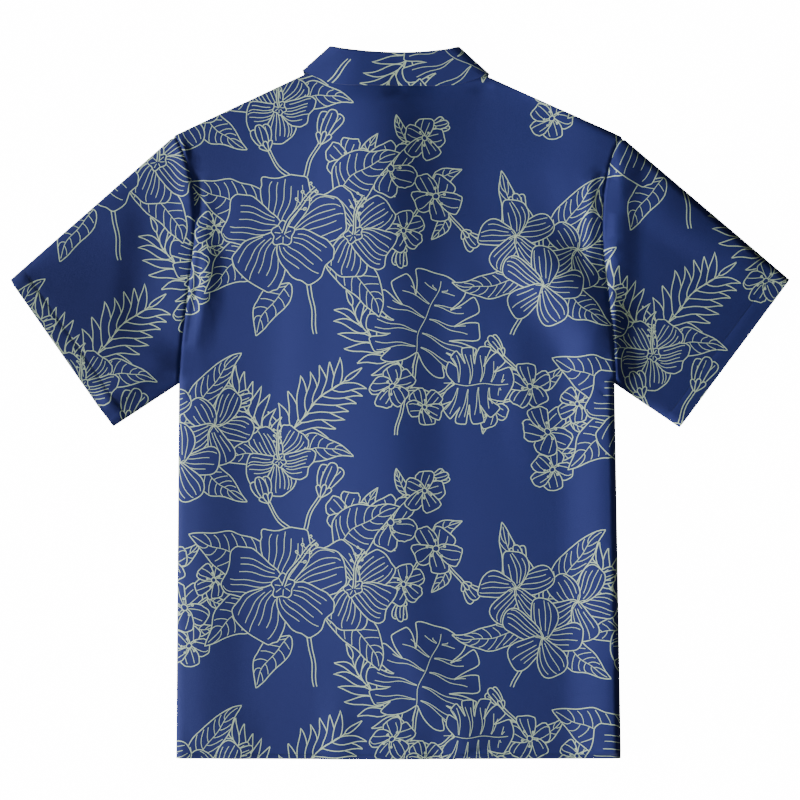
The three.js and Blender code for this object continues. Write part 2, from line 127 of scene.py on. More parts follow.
# The folds of the upper layer. Each says from, to, bend, reach to the left and to the right of that walk,
# height, and the shares of its length over which it fades in and out.
FOLDS = (
    # body swell
    ((-30, 420), (-10, -560), 0, 230, 225, 6, 0.3, 0.3),
    # neck swell
    ((-95, 345), (95, 345), 0, 60, 60, 2.4, 0.4, 0.3),
    # centre drape
    ((-26, 372), (-6, -384), 0, 70, 135, 8.5, 0.12, 0.5),
    # low left drape
    ((-30, 40), (0, -400), 0, 60, 90, 2.4, 0.5, 0.02),
    # collar valley
    ((134, 380), (84, 100), 0, 104, 122, -10, 0.3, 0.45),
    # upper left drape
    ((-30, 392), (-44, 120), 0, 60, 62, 5.2, 0.12, 0.6),
    # right drag ridge
    ((76, 205), (224, 44), -18, 52, 48, 11, 0.55, 0.16),
    # right drag hollow
    ((100, 260), (214, 130), -10, 42, 38, -2.2, 0.4, 0.3),
    # right side ridge
    ((230, 116), (238, -384), 0, 14, 62, 11.2, 0.2, 0.02),
    # left side ridge
    ((-212, 60), (-213, -384), 0, 50, 27, 3.2, 0.15, 0.1),
    # left sleeve head
    ((-238, 292), (-222, 184), -2, 6, 18, 3.4, 0.2, 0.4),
    # left armhole groove
    ((-223, 258), (-216, 178), 0, 10, 5, -1.2, 0.25, 0.35),
    # left armhole ridge
    ((-208, 196), (-230, 30), -6, 18, 9, 5.5, 0.35, 0.4),
    # left armhole hollow
    ((-198, 250), (-190, 120), 0, 22, 16, -1.6, 0.3, 0.4),
    # under the collar
    ((-72, 343), (84, 348), 0, 20, 18, -4.2, 0.3, 0.4),
    # right sleeve head
    ((241, 276), (235, 64), 7.5, 30, 7.5, 4.6, 0.12, 0.25),
    # right armhole pucker
    ((206, 262), (210, 120), 4, 12, 9, 2.6, 0.2, 0.4),
    # left sleeve underside
    ((-322, -8), (-236, 56), 0, 34, 22, 4, 0.12, 0.3),
    # left sleeve slope
    ((-425, 150), (-235, 310), 0, 30, 60, -2.5, 0.1, 0.3),
    # left cuff lift
    ((-455, 120), (-345, -40), 0, 150, 50, 7.5, 0.1, 0.1),
    # left sleeve hollow
    ((-268, 250), (-282, 40), 0, 42, 36, -4, 0.3, 0.3),
    # right sleeve crest
    ((248, 235), (400, 140), 4, 40, 34, 3, 0.3, 0.2),
    # right sleeve hollow
    ((236, 60), (300, 40), 0, 24, 24, -0.8, 0.3, 0.5),
    # hem wave left
    ((-170, -310), (-176, -390), 0, 26, 26, 1.8, 0.7, 0.02),
    # hem wave middle
    ((-66, -280), (-66, -390), 0, 24, 24, 2.2, 0.7, 0.02),
    # hem dip
    ((40, -290), (48, -390), 0, 26, 26, -1.6, 0.7, 0.02),
    # left long swell
    ((-96, 190), (-108, -120), 8, 34, 28, 1.4, 0.4, 0.5),
    # right long swell
    ((120, 120), (150, -120), 6, 30, 26, 2, 0.4, 0.5),
    # low centre ridge
    ((0, -225), (62, -384), 0, 54, 28, 2.6, 0.4, 0.02),
)
# Fine creases of the upper layer, in the same form.
CREASES = (
    ((-224, 250), (-218, 188), 0, 12, 5, -1.8, 0.25, 0.35),
    ((-212, 205), (-228, 100), 0, 10, 7, 2.0, 0.3, 0.4),
    ((-206, 150), (-222, 60), 4, 9, 12, -1.0, 0.4, 0.4),
    ((223, 251), (208, 241), 0, 4.5, 4, -0.8, 0.2, 0.6),
    ((220, 225), (206, 216), 1, 4, 4.5, -0.9, 0.2, 0.6),
    ((218, 180), (205, 172), 0, 4.5, 4, -0.7, 0.2, 0.6),
    ((219, 153), (206, 160), -1, 4, 4, -0.7, 0.2, 0.6),
    ((76, 338), (104, 346), 2, 7, 6, -1.2, 0.3, 0.4),
    ((6, 341), (-20, 326), 0, 8, 7, -1.2, 0.2, 0.7),
    ((-231, 8), (-214, 30), 0, 7, 7, -0.9, 0.2, 0.7),
    ((225, 6), (206, 24), 0, 6, 8, -1.0, 0.2, 0.7),
)
# Soft folds of the fronts underneath, in the same form.
FRONT_FOLDS = (
    ((-200, 200), (-120, 40), 10, 30, 26, 1.4, 0.4, 0.4),
    ((-190, -40), (-205, -360), 6, 26, 30, 1.6, 0.3, 0.05),
    ((-110, -120), (-90, -380), 5, 24, 24, 1.2, 0.4, 0.05),
    ((196, 190), (110, 60), -8, 30, 28, 1.5, 0.4, 0.4),
    ((120, -80), (140, -380), -5, 26, 26, 1.4, 0.4, 0.05),
    ((196, -100), (205, -370), 4, 24, 22, 1.2, 0.4, 0.05),
)


def smooth(t):
    t = np.clip(t, 0, 1)
    return t * t * (3 - 2 * t)


def lerp(a, b, t):
    return a + (b - a) * t


def pairs(x, y):
    return np.stack(np.broadcast_arrays(np.asarray(x, float), np.asarray(y, float)), -1)


def distance_to_path(points, path):
    """How far each point is from a path of straight stretches."""
    nearest = np.full(len(points), np.inf)
    for a, b in zip(path[:-1], path[1:]):
        way = b - a
        t = np.clip(((points - a) @ way) / (way @ way), 0, 1)
        nearest = np.minimum(nearest, np.hypot(*(points - a - t[:, None] * way).T))
    return nearest


def fold_heights(folds, points):
    total = np.zeros(len(points))
    for (ax, ay), (bx, by), bend, left, right, height, fade_in, fade_out in folds:
        dx, dy = bx - ax, by - ay
        length = math.hypot(dx, dy)
        px, py = points[:, 0] - ax, points[:, 1] - ay
        along = (px * dx + py * dy) / length**2
        across = (px * dy - py * dx) / length - bend * 4 * along * (1 - along)
        share = np.minimum(1, np.abs(across) / np.where(across > 0, right, left))
        fade = smooth(along / fade_in) * smooth((1 - along) / fade_out)
        total += np.where((along > 0) & (along < 1), height * fade * (1 - share**2) ** 2, 0)
    return total


def crease_guides():
    """Rows of points along each fine crease, so that the cloth can follow it."""
    rows = []
    for a, b, bend, left, right, *_ in CREASES:
        a, b = np.array(a, float), np.array(b, float)
        way = (b - a) / np.hypot(*(b - a))
        aside = np.array([way[1], -way[0]])
        t = np.linspace(0.04, 0.96, max(3, int(np.hypot(*(b - a)) / 4)))[:, None]
        middle = a + (b - a) * t + aside * bend * 4 * t * (1 - t)
        for share in (-0.9, -0.5, 0, 0.5, 0.9):
            rows.append(middle + aside * share * (right if share > 0 else left))
    return rows


CLOSED_BETWEEN = (
    ("hem", "underarm"),
    ("underarm", "cuff_under"),
    ("cuff_top", "shoulder"),
    ("shoulder", "neck"),
)
CLOSED_EDGES = [np.array([side[a], side[b]], float) for side in CORNERS.values() for a, b in CLOSED_BETWEEN]


def from_closed_edge(points):
    return np.min([distance_to_path(points, edge) for edge in CLOSED_EDGES], axis=0)


def turned_in(points):
    """0 on a closed edge, rising as a quarter circle to 1 where the cloth has finished turning."""
    return np.sqrt(1 - (1 - np.clip(from_closed_edge(points) / ROLL, 0, 1)) ** 2)


def calm_level(points):
    """The upper layer without its folds: level over the body, and lower towards the cuffs."""
    share = np.zeros(len(points))
    for corners in CORNERS.values():
        start, end = corners["underarm"][0], corners["cuff_top"][0]
        share = np.maximum(share, (points[:, 0] - start) / (end - start))
    return UPPER_LEVEL - SLEEVE_DROP * np.minimum(share, 1)


def upper_level(points, lift=0.0):
    calm = calm_level(points)
    seam = (calm + REST_LEVEL) / 2 + lift
    full = calm + fold_heights(FOLDS + CREASES, points)
    under = LOWEST_UPPER - 2 * (1 - np.exp(np.minimum(0, full - LOWEST_UPPER) / 2))
    return seam + (np.where(full < LOWEST_UPPER, under, full) - seam) * turned_in(points)


# The strip that the buttons hold up starts this far below the lowest of them, and rises over this run.
STRIP_BELOW = 110
STRIP_RISE = 80
BUTTON_CLEAR = 0.3
# The oval round the neck that the collar holds up.
COLLAR_OVAL = (138, 116)
COLLAR_OVAL_Y = 335
COLLAR_OVAL_FADE = 0.25
LAP_CLEAR = 2
LAP_FADE = 12


def held_up(points):
    """How high the lower layer is held by the buttons and the collar under it."""
    x, y = points.T
    strip = 1 - smooth((np.abs(x - FRONT_LINE) - PLACKET_FLAT) / (PLACKET_END - PLACKET_FLAT))
    risen = smooth((y - LOWEST_BUTTON + STRIP_BELOW) / STRIP_RISE)
    buttons = (BUTTON_THICK + BUTTON_CLEAR) * strip * risen
    oval = np.hypot((x - FRONT_LINE) / COLLAR_OVAL[0], (y - COLLAR_OVAL_Y) / COLLAR_OVAL[1])
    collar = LAYER_STEP * (1 - smooth((oval - 1) / COLLAR_OVAL_FADE))
    return np.maximum(buttons, collar)


def lower_level(points, above=0.0, lift=0.0):
    seam = (calm_level(points) + REST_LEVEL) / 2 - lift
    full = REST_LEVEL + held_up(points) + above + fold_heights(FRONT_FOLDS, points)
    return seam + (full - seam) * turned_in(points)


def over_left_front(points):
    """How high the left front lifts the right one where the two lap."""
    past = points[:, 0] - FRONT_LINE - OVERLAP - LAP_CLEAR
    return LAYER_STEP * (1 - smooth(past / LAP_FADE))


def armhole(side, share):
    """The armhole seam, from the shoulder at 0 to the underarm at 1."""
    share = np.asarray(share, float)
    (sx, sy), (ux, uy) = CORNERS[side]["shoulder"], CORNERS[side]["underarm"]
    bow = INWARD[side] * ARMHOLE_DEPTH[side] * np.sin(np.pi * share**0.61) ** 1.5
    return pairs(lerp(sx, ux, share) + bow, lerp(sy, uy, share))


ARMHOLES = {side: armhole(side, np.linspace(0, 1, 48)) for side in CORNERS}


def sleeve_head(side, share):
    """The sleeve's own edge along the armhole."""
    share = np.asarray(share, float)
    gap = SEAM_GAP + UNDERARM_GAP * share**8
    return armhole(side, share) - pairs(INWARD[side] * gap, 0)


SEAM_DEPTH = 1.5
SEAM_REACH = 3.2
PUCKER_HEIGHT = 0.32
PUCKER_REACH = 9


def seam_dip(points):
    """The soft valley along each armhole, with small puckers from its stitches."""
    total = np.zeros(len(points))
    for side, path in ARMHOLES.items():
        away = distance_to_path(points, path)
        y = points[:, 1]
        pucker = 0.5 * np.sin(y * 0.61 + 1.3 * np.sin(y * 0.09)) + 0.5 * np.sin(y * 0.37 + 2)
        total -= SEAM_DEPTH * (1 - smooth(away / SEAM_REACH))
        total += PUCKER_HEIGHT * pucker * (1 - smooth((away - 1) / PUCKER_REACH)) * smooth(away / 1.5)
    return total


def neckline(side, share, lowest, power):
    return lerp(lowest, CORNERS[side]["neck"][1], np.asarray(share, float) ** power)


def neck_x(side, share):
    return lerp(FRONT_LINE, CORNERS[side]["neck"][0], np.asarray(share, float))


def even(points, step=1.0):
    """The same path with points a step apart."""
    points = np.asarray(points, float)
    runs = np.r_[0, np.cumsum(np.hypot(*np.diff(points, axis=0).T))]
    at = np.linspace(0, runs[-1], max(2, int(runs[-1] / step) + 1))
    return np.stack([np.interp(at, runs, points[:, 0]), np.interp(at, runs, points[:, 1])], 1)


def joined(*paths):
    """Paths laid end to end as one closed outline, without doubled points."""
    points = np.vstack(paths)
    keep = np.hypot(*(points - np.roll(points, 1, axis=0)).T) > 1e-3
    return points[keep]


def signed_area(outline):
    """The area of an outline, which is below 0 where it runs clockwise."""
    x, y = outline.T
    return np.sum(x * np.roll(y, -1) - np.roll(x, -1) * y) / 2


def leftward(way):
    """The ways that point to the left of others."""
    return np.stack([-way[..., 1], way[..., 0]], -1)


def changes(flags):
    """Where a row of yes and no changes."""
    return np.flatnonzero(np.diff(flags.astype(int))) + 1


def inside(points, outline):
    """Which points lie inside a closed outline."""
    result = np.zeros(len(points), bool)
    x, y = points.T
    for (ax, ay), (bx, by) in zip(outline, np.roll(outline, -1, axis=0)):
        if ay != by:
            result ^= ((ay > y) != (by > y)) & (x < (bx - ax) * (y - ay) / (by - ay) + ax)
    return result


# The print: line drawings of flowers and leaves, in millimetres.


def waves(rng, count, cycles):
    """A smooth uneven wave of about -1 to 1."""
    t = np.linspace(0, 2 * math.pi, count)
    total = np.zeros(count)
    for cycle in range(1, cycles + 1):
        total += rng.uniform(0.4, 1.0) / cycle * np.sin(cycle * t + rng.uniform(0, 2 * math.pi))
    return total / 1.4


def curve(points):
    """A smooth line through a few points."""
    p = np.asarray(points, float)
    q = np.vstack([2 * p[0] - p[1], p, 2 * p[-1] - p[-2]])
    t = np.linspace(0, 1, 14)[:, None]
    out = []
    for a, b, c, d in zip(q, q[1:], q[2:], q[3:]):
        square = (2 * a - 5 * b + 4 * c - d) * t**2
        cube = (3 * b - a - 3 * c + d) * t**3
        out.append(0.5 * (2 * b + (c - a) * t + square + cube))
    return even(np.vstack(out))


def turned(points, angle, at=(0, 0), size=1.0, flip=False):
    """Points turned by degrees, sized and moved."""
    c, s = math.cos(math.radians(angle)), math.sin(math.radians(angle))
    p = np.asarray(points, float) * size
    if flip:
        p = p * (1, -1)
    return p @ np.array([[c, s], [-s, c]]) + at


OUTER = 1.0
INNER = 0.68


class Drawing:
    """Lines of one repeat of the print, each with its weight. A new shape covers what lies under it."""

    def __init__(self, width, height):
        self.lines = []
        self.shifts = [(0, 0), (0, height), (0, -height)]
        self.shifts += [(x * width, y * height / 2) for x in (-1, 1) for y in (-1, 1)]
        self.put(0, (0, 0), 1.0, False)

    def put(self, turn, at, size, flip):
        """Sets where the next motif goes."""
        self.turn, self.at, self.size, self.flip = turn, at, size, flip

    def placed(self, points):
        """Points of a motif on the cloth, a little uneven as a hand draws."""
        p = turned(points, self.turn, self.at, self.size, self.flip)
        x, y = p.T
        dx = 2.2 * np.sin(y * 0.071 + 0.6) + 1.0 * np.sin(y * 0.17 + x * 0.06)
        dy = 2.2 * np.sin(x * 0.063 + 2.1) + 1.0 * np.sin(x * 0.19 - y * 0.05)
        return p + np.stack([dx, dy], 1)

    def cover(self, outline):
        if not self.lines:
            return
        lows = np.array([line.min(0) for line, _ in self.lines])
        highs = np.array([line.max(0) for line, _ in self.lines])
        hit = {}
        for shift in self.shifts:
            moved = outline + shift
            near = (lows <= moved.max(0)).all(1) & (highs >= moved.min(0)).all(1)
            for i in np.flatnonzero(near):
                hit.setdefault(int(i), []).append(moved)
        kept = []
        for i, (line, weight) in enumerate(self.lines):
            if i not in hit:
                kept.append((line, weight))
                continue
            out = ~np.any([inside(line, moved) for moved in hit[i]], axis=0)
            for run in np.split(np.arange(len(line)), changes(out)):
                if out[run[0]] and len(run) > 2:
                    kept.append((line[run], weight))
        self.lines = kept

    def shape(self, outline, marks=()):
        self.cover(self.placed(outline))
        self.line(np.vstack([outline, outline[:1]]), OUTER)
        for mark in marks:
            self.line(mark, INNER)

    def line(self, points, weight=OUTER):
        self.lines.append((even(self.placed(even(points))), weight))


def petal(d, rng, angle, at, length, width, veins, ruffle=0.0, point=0.0, lean=0.0):
    """A petal whose root is at a place, with veins that run up it in soft bends."""
    s = np.linspace(0, 1, 60)
    rim = np.clip((s - 0.3) / 0.3, 0, 1)

    def half(t):
        return width / 2 * np.sin(math.pi * t) ** 0.66 * (0.32 + 0.95 * t)

    def along(t):
        return length * (1 - np.cos(math.pi * t)) / 2

    def side(sign):
        bump = waves(rng, 60, 7) * ruffle * rim
        x = along(s) + bump * s + point * length * np.exp(-(((s - 1) / 0.12) ** 2))
        return np.stack([x, sign * (half(s) + bump * (1 - s * 0.6)) + lean * width * s**2], 1)

    up, down = side(1), side(-1)
    up[-1] = down[-1] = (up[-1] + down[-1]) / 2
    marks = []
    sway = rng.uniform(0.05, 0.09) * width * rng.choice((-1, 1))
    phase = rng.uniform(-0.5, 0.5)
    for k in range(veins):
        f = 0.84 * ((k + 0.5) / veins * 2 - 1) + rng.uniform(-0.05, 0.05)
        t = np.linspace(rng.uniform(0.2, 0.34), rng.uniform(0.66, 0.95) - 0.16 * f * f, 18)
        swing = sway * (np.sin(6 * t + phase) - math.sin(phase)) * (1 - 0.6 * abs(f))
        marks.append(np.stack([along(t), f * half(t) + lean * width * t**2 + swing], 1))
    outline = np.vstack([up, down[::-1][1:-1]])
    d.shape(turned(outline, angle, at), [turned(m, angle, at) for m in marks])


def leaf(d, rng, angle, at, length, width, veins, bend):
    """A pointed leaf with a rib and side veins that curve to its edge."""
    t = np.linspace(0, 1, 56)

    def half(t):
        return width / 2 * np.sin(math.pi * t**0.78) ** 0.85 * (1.08 - 0.4 * t)

    def mid(t):
        return bend * length * np.sin(math.pi * t * 0.9)

    def side(sign):
        ripple = waves(rng, 56, 6) * 0.03 * width * np.sin(math.pi * t)
        return np.stack([length * t, mid(t) + sign * half(t) + ripple], 1)

    marks = [np.stack([length * t[:53], mid(t[:53])], 1)]
    for sign in (1, -1):
        for k in range(veins):
            start = 0.06 + 0.76 * (k + 0.35 * (sign > 0)) / veins
            u = np.linspace(0, rng.uniform(0.8, 0.97), 9)
            s = np.minimum(start + (0.13 + 0.06 * rng.random()) * u**1.6, 0.97)
            marks.append(np.stack([length * s, mid(s) + sign * half(s) * u], 1))
    outline = np.vstack([side(1), side(-1)[::-1][1:-1]])
    d.shape(turned(outline, angle, at), [turned(m, angle, at) for m in marks])


def blade(d, angle, at, length, width, bend=0.0):
    """A plain narrow leaf."""
    t = np.linspace(0, 1, 22)
    half = width / 2 * np.sin(math.pi * t**0.75)
    mid = bend * length * np.sin(math.pi * t)
    up, down = np.stack([length * t, mid + half], 1), np.stack([length * t, mid - half], 1)
    d.shape(turned(np.vstack([up, down[::-1][1:-1]]), angle, at))


def stem(d, points, width):
    mid = curve(points)
    way = np.gradient(mid, axis=0)
    way /= np.hypot(*way.T)[:, None]
    off = leftward(way) * width / 2
    d.cover(d.placed(np.vstack([mid + off, (mid - off)[::-1]])))
    d.line(mid + off)
    d.line(mid - off)


def ring(d, at, radius, lobes=0, depth=0.0, turn=0.0):
    a = np.linspace(0, 2 * math.pi, max(10, int(radius * 5)), endpoint=False)
    r = radius * (1 + depth * np.cos(lobes * (a - math.radians(turn))))
    d.shape(np.stack([at[0] + r * np.cos(a), at[1] + r * np.sin(a)], 1))


def rays(d, at, near, far, count, turn):
    for k in range(count):
        a = math.radians(turn + 360 / count * k)
        way = np.array([math.cos(a), math.sin(a)])
        d.line([at + near * way, at + far * way], INNER)


def hibiscus(d, rng, at, size, turn):
    """Five broad ruffled petals and a long column of stamens."""
    at = np.asarray(at, float)
    for k in range(5):
        angle = turn + 72 * k + rng.uniform(-6, 6)
        length = size * rng.uniform(0.94, 1.06)
        petal(d, rng, angle, at, length, size, 6, ruffle=size * 0.06)
    ring(d, at, size * 0.19, 5, 0.16, turn)
    rays(d, at, size * 0.05, size * 0.15, 7, turn)
    way = turn + 36
    column = np.array([(0, 0), (0.3, 0.06), (0.62, 0.03), (0.9, -0.08)])
    stem(d, turned(column * size, way, at), size * 0.05)
    for k in range(6):
        t, sign = 0.46 + 0.085 * k, 1 if k % 2 else -1
        y = 0.05 - 0.3 * max(0, t - 0.55)
        root, tip = turned(np.array([(t, y), (t + 0.05, y + sign * 0.1)]) * size, way, at)
        d.line([root, tip], INNER)
        ring(d, tip, size * 0.024)


def frangipani(d, rng, at, size, turn):
    """Five smooth petals that lap like a pinwheel."""
    at = np.asarray(at, float)
    for k in range(5):
        petal(d, rng, turn + 72 * k + rng.uniform(-4, 4), at, size, size * 0.8, 4, point=0.03, lean=0.13)
    rays(d, at, 0, size * 0.2, 5, turn + 30)


def blossom(d, rng, at, size, turn):
    """A small flower with a ring in the middle."""
    at = np.asarray(at, float)
    for k in range(5):
        petal(d, rng, turn + 72 * k + rng.uniform(-5, 5), at, size, size, 2, ruffle=size * 0.06)
    ring(d, at, size * 0.13)
    for k in range(5):
        a = math.radians(turn + 36 + 72 * k)
        tip = at + np.array([math.cos(a), math.sin(a)]) * size * 0.36
        d.line([at + (tip - at) * 0.4, tip], INNER)
        ring(d, tip, size * 0.045)


def bud(d, rng, at, size, turn):
    """A closed flower on its calyx."""
    for k, (a, w) in enumerate(((15, 0.34), (-15, 0.34), (0, 0.4))):
        petal(d, rng, turn + a, at, size * (0.92 + 0.04 * k), size * w, 1, point=0.04)
    for a in (-34, 34, 0):
        petal(d, rng, turn + a, at, size * 0.36, size * 0.17, 0, point=0.05)


def split_leaf(d, rng, angle, at, size):
    """A broad heart-shaped leaf with deep slits between its ribs."""
    a = np.linspace(-math.pi, math.pi, 361)[:-1]
    notch = 0.3 * np.exp(-(((np.abs(a) - math.pi) / 0.35) ** 2))
    body = 0.62 + 0.38 * np.cos(a / 2) ** 1.2 - notch
    slits = np.zeros_like(a)
    for way, depth in zip((0.5, 0.95, 1.4, 1.85, 2.3), (0.42, 0.5, 0.5, 0.44, 0.32)):
        for sign in (1, -1):
            slits += depth * rng.uniform(0.85, 1.1) * np.exp(-(((a - sign * way) / 0.045) ** 2))
    r = body * (1 - np.clip(slits, 0, 0.62)) * size * 0.56
    outline = np.stack([r * np.cos(a) + 0.224 * size, r * np.sin(a) * 1.02], 1)
    marks = [curve([(-0.1 * size, 0), (0.3 * size, 0.012 * size), (0.72 * size, 0)])]
    for k, way in enumerate((0.26, 0.72, 1.17, 1.62, 2.07)):
        for sign in (1, -1):
            for spread in (-0.09, 0.09):
                root = np.array([(0.62 - 0.13 * k) * size, 0])
                reach = way + spread
                tip = np.array([0.224 + 0.45 * math.cos(reach), sign * 0.46 * math.sin(reach)]) * size
                mid = root * 0.45 + tip * 0.55 + np.array([0.0, sign * 0.02 * size])
                marks.append(curve([root, mid, tip * 0.88 + root * 0.12])[3:])
    d.shape(turned(outline, angle, at), [turned(m, angle, at) for m in marks])


def frond(d, rng, angle, at, size, blade_pairs, bend):
    """A feather palm leaf."""
    t = np.linspace(0, 1, 30)
    for k in range(blade_pairs):
        for sign in (1, -1):
            s = 0.14 + 0.8 * k / blade_pairs
            way = math.degrees(math.atan2(2 * bend * s, 1)) + sign * (60 - 30 * s)
            reach = size * (0.44 - 0.26 * abs(s - 0.45)) * rng.uniform(0.92, 1.05)
            root = turned([(size * s, bend * size * s**2)], angle, at)[0]
            blade(d, angle + way, root, reach, reach * 0.24, -0.09 * sign)
    end = turned([(size, bend * size)], angle, at)[0]
    blade(d, angle + math.degrees(math.atan(2 * bend)), end, size * 0.2, size * 0.05)
    d.line(turned(np.stack([size * t, bend * size * t**2], 1), angle, at))


def hibiscus_spray(d, rng):
    stem(d, [(6, -112), (2, -60), (-4, -10), (10, 44), (36, 92)], 3.6)
    bud(d, rng, (36, 90), 38, 62)
    stem(d, [(12, 50), (-8, 74), (-18, 96)], 3)
    bud(d, rng, (-18, 94), 31, 112)
    leaf(d, rng, 150, (-26, 30), 92, 52, 7, 0.10)
    leaf(d, rng, 206, (-26, -12), 92, 48, 7, -0.10)
    leaf(d, rng, 22, (44, 34), 86, 50, 7, 0.12)
    leaf(d, rng, -60, (30, -28), 86, 45, 7, 0.12)
    leaf(d, rng, -126, (-18, -50), 66, 34, 5, -0.12)
    hibiscus(d, rng, (60, -8), 47, 40)
    hibiscus(d, rng, (-16, 4), 63, 12)


def frangipani_branch(d, rng):
    stem(d, [(-6, -96), (-2, -46), (4, 0), (28, 34)], 3.8)
    leaf(d, rng, 66, (4, 8), 104, 38, 8, 0.08)
    leaf(d, rng, 128, (-6, 2), 100, 37, 8, 0.10)
    leaf(d, rng, -24, (12, -14), 96, 35, 8, -0.10)
    leaf(d, rng, 198, (-10, -26), 88, 34, 7, 0.12)
    bud(d, rng, (42, 42), 30, 36)
    bud(d, rng, (-36, 34), 28, 118)
    frangipani(d, rng, (39, 17), 42, 4)
    frangipani(d, rng, (-33, 11), 43, 40)
    frangipani(d, rng, (7, -33), 45, 18)


def leaf_pair(d, rng):
    stem(d, [(-34, -92), (-16, -46), (-4, -10)], 3)
    stem(d, [(-16, -46), (14, -52), (34, -40)], 3)
    frond(d, rng, 132, (-14, -30), 96, 6, -0.16)
    split_leaf(d, rng, 66, (-6, -12), 122)
    split_leaf(d, rng, -10, (30, -42), 84)
    blossom(d, rng, (-34, -40), 23, 20)
    blossom(d, rng, (2, -66), 20, 50)


def blossom_sprig(d, rng):
    stem(d, [(-66, 38), (-22, 20), (18, -4), (50, -50)], 2.8)
    stem(d, [(-22, 20), (-2, 48), (26, 60)], 2.4)
    stem(d, [(18, -4), (-4, -34), (-14, -60)], 2.4)
    twigs = (
        (70, (-40, 30), 38),
        (-60, (-38, 26), 38),
        (30, (24, -6), 44),
        (-118, (34, -26), 36),
        (200, (-8, -34), 36),
        (100, (2, 50), 30),
    )
    for angle, at, size in twigs:
        leaf(d, rng, angle, at, size, size * 0.44, 4, 0.1)
    bud(d, rng, (50, -50), 26, -50)
    bud(d, rng, (-14, -60), 24, -108)
    bud(d, rng, (28, 60), 22, 24)
    blossom(d, rng, (-60, 40), 24, 0)
    blossom(d, rng, (-16, 24), 29, 30)
    blossom(d, rng, (22, 50), 22, 10)
    blossom(d, rng, (26, -12), 26, 50)
    blossom(d, rng, (-12, -46), 22, 24)


def frond_sweep(d, rng):
    frond(d, rng, 58, (-20, -50), 112, 8, -0.12)
    frond(d, rng, 122, (-16, -46), 90, 7, 0.14)
    leaf(d, rng, 6, (-10, -52), 76, 34, 6, 0.12)
    leaf(d, rng, 190, (-20, -52), 60, 29, 5, -0.12)
    hibiscus(d, rng, (-14, -52), 37, 60)


MOTIFS = (hibiscus_spray, frangipani_branch, leaf_pair, blossom_sprig, frond_sweep)
# Motif, x, y, turn in degrees, size and whether it is mirrored
LAYOUT = (
    (4, 62, 60, -4, 1.0, False),
    (3, 318, 62, 74, 0.92, True),
    (3, 186, 300, 8, 1.0, False),
    (2, 196, 130, 6, 1.0, False),
    (1, 330, 228, -16, 0.95, False),
    (0, 66, 252, 8, 1.0, False),
)
PRINTS = {}


def print_lines(width, height, seed):
    """The lines of one repeat of the print, drawn once for each size and seed."""
    if (width, height, seed) not in PRINTS:
        drawing = Drawing(width, height)
        for motif, x, y, turn, size, flip in LAYOUT:
            drawing.put(turn, (x, y), size, flip)
            MOTIFS[motif](drawing, random.Random(seed + motif + int(x)))
        PRINTS[width, height, seed] = drawing.lines
    return PRINTS[width, height, seed]


# A stroke gets its next point after this turn in radians, or this run in millimetres.
TURN_LIMIT = math.radians(13.5)
RUN_LIMIT = 5
# How far strokes may reach past a piece, and how short a stroke's step may be, in millimetres.
REACH_PAST = 3
SHORT_STEP = 0.4


def thinned(line):
    """A line with points only where it bends, and at most a few millimetres apart."""
    if len(line) < 3:
        return line
    way = np.diff(line, axis=0)
    heading = np.unwrap(np.arctan2(way[:, 1], way[:, 0]))
    keep = [0]
    for i in range(1, len(line) - 1):
        gone = heading[i] - heading[keep[-1]]
        run = i - keep[-1]
        if abs(gone) > TURN_LIMIT or run >= RUN_LIMIT:
            keep.append(i)
    return line[keep + [len(line) - 1]]


def stroke(line, width):
    """The two sides of a pen stroke along a line, point by point."""
    way = np.diff(line, axis=0)
    way = way / np.maximum(np.hypot(*way.T), 1e-9)[:, None]
    at = np.vstack([way[:1], way[:-1] + way[1:], way[-1:]])
    size = np.hypot(*at.T)
    at = np.where(size[:, None] > 0.3, at / np.maximum(size, 1e-9)[:, None], np.vstack([way[:1], way]))
    grow = 1 / np.maximum(0.6, (at * np.vstack([way[:1], way])).sum(1))
    off = leftward(at) * width / 2 * grow[:, None]
    return line + off, line - off


def sound(a, b, c, d):
    """Whether four corners in turn make a quad that bulges out all round."""
    corners = (a, b, c, d)
    for k in range(4):
        p, q, r = corners[k], corners[(k + 1) % 4], corners[(k + 2) % 4]
        if (q[0] - p[0]) * (r[1] - q[1]) - (q[1] - p[1]) * (r[0] - q[0]) < 0.02:
            return False
    return True


def runs_over(outline, shift):
    """The stretches of the print's lines that touch a piece, each with its weight."""
    sizes = bpy.context.scene.shirt_sizes
    tile = np.array([sizes.repeat_across, sizes.repeat_up]) / MM
    lines = print_lines(*tile.tolist(), sizes.print_seed)
    low, high = outline.min(0), outline.max(0)
    first = np.floor((low - shift) / tile).astype(int)
    last = np.floor((high - shift) / tile).astype(int)
    for i in range(first[0] - 1, last[0] + 2):
        for j in range(first[1] - 2, last[1] + 2):
            for line, weight in lines:
                placed = line + shift + tile * (i, j + i % 2 / 2)
                if (placed.max(0) < low).any() or (placed.min(0) > high).any():
                    continue
                near = ((placed > low - REACH_PAST) & (placed < high + REACH_PAST)).all(1)
                for run in np.split(np.arange(len(placed)), changes(near)):
                    if near[run[0]] and len(run) > 2:
                        yield placed[run], weight


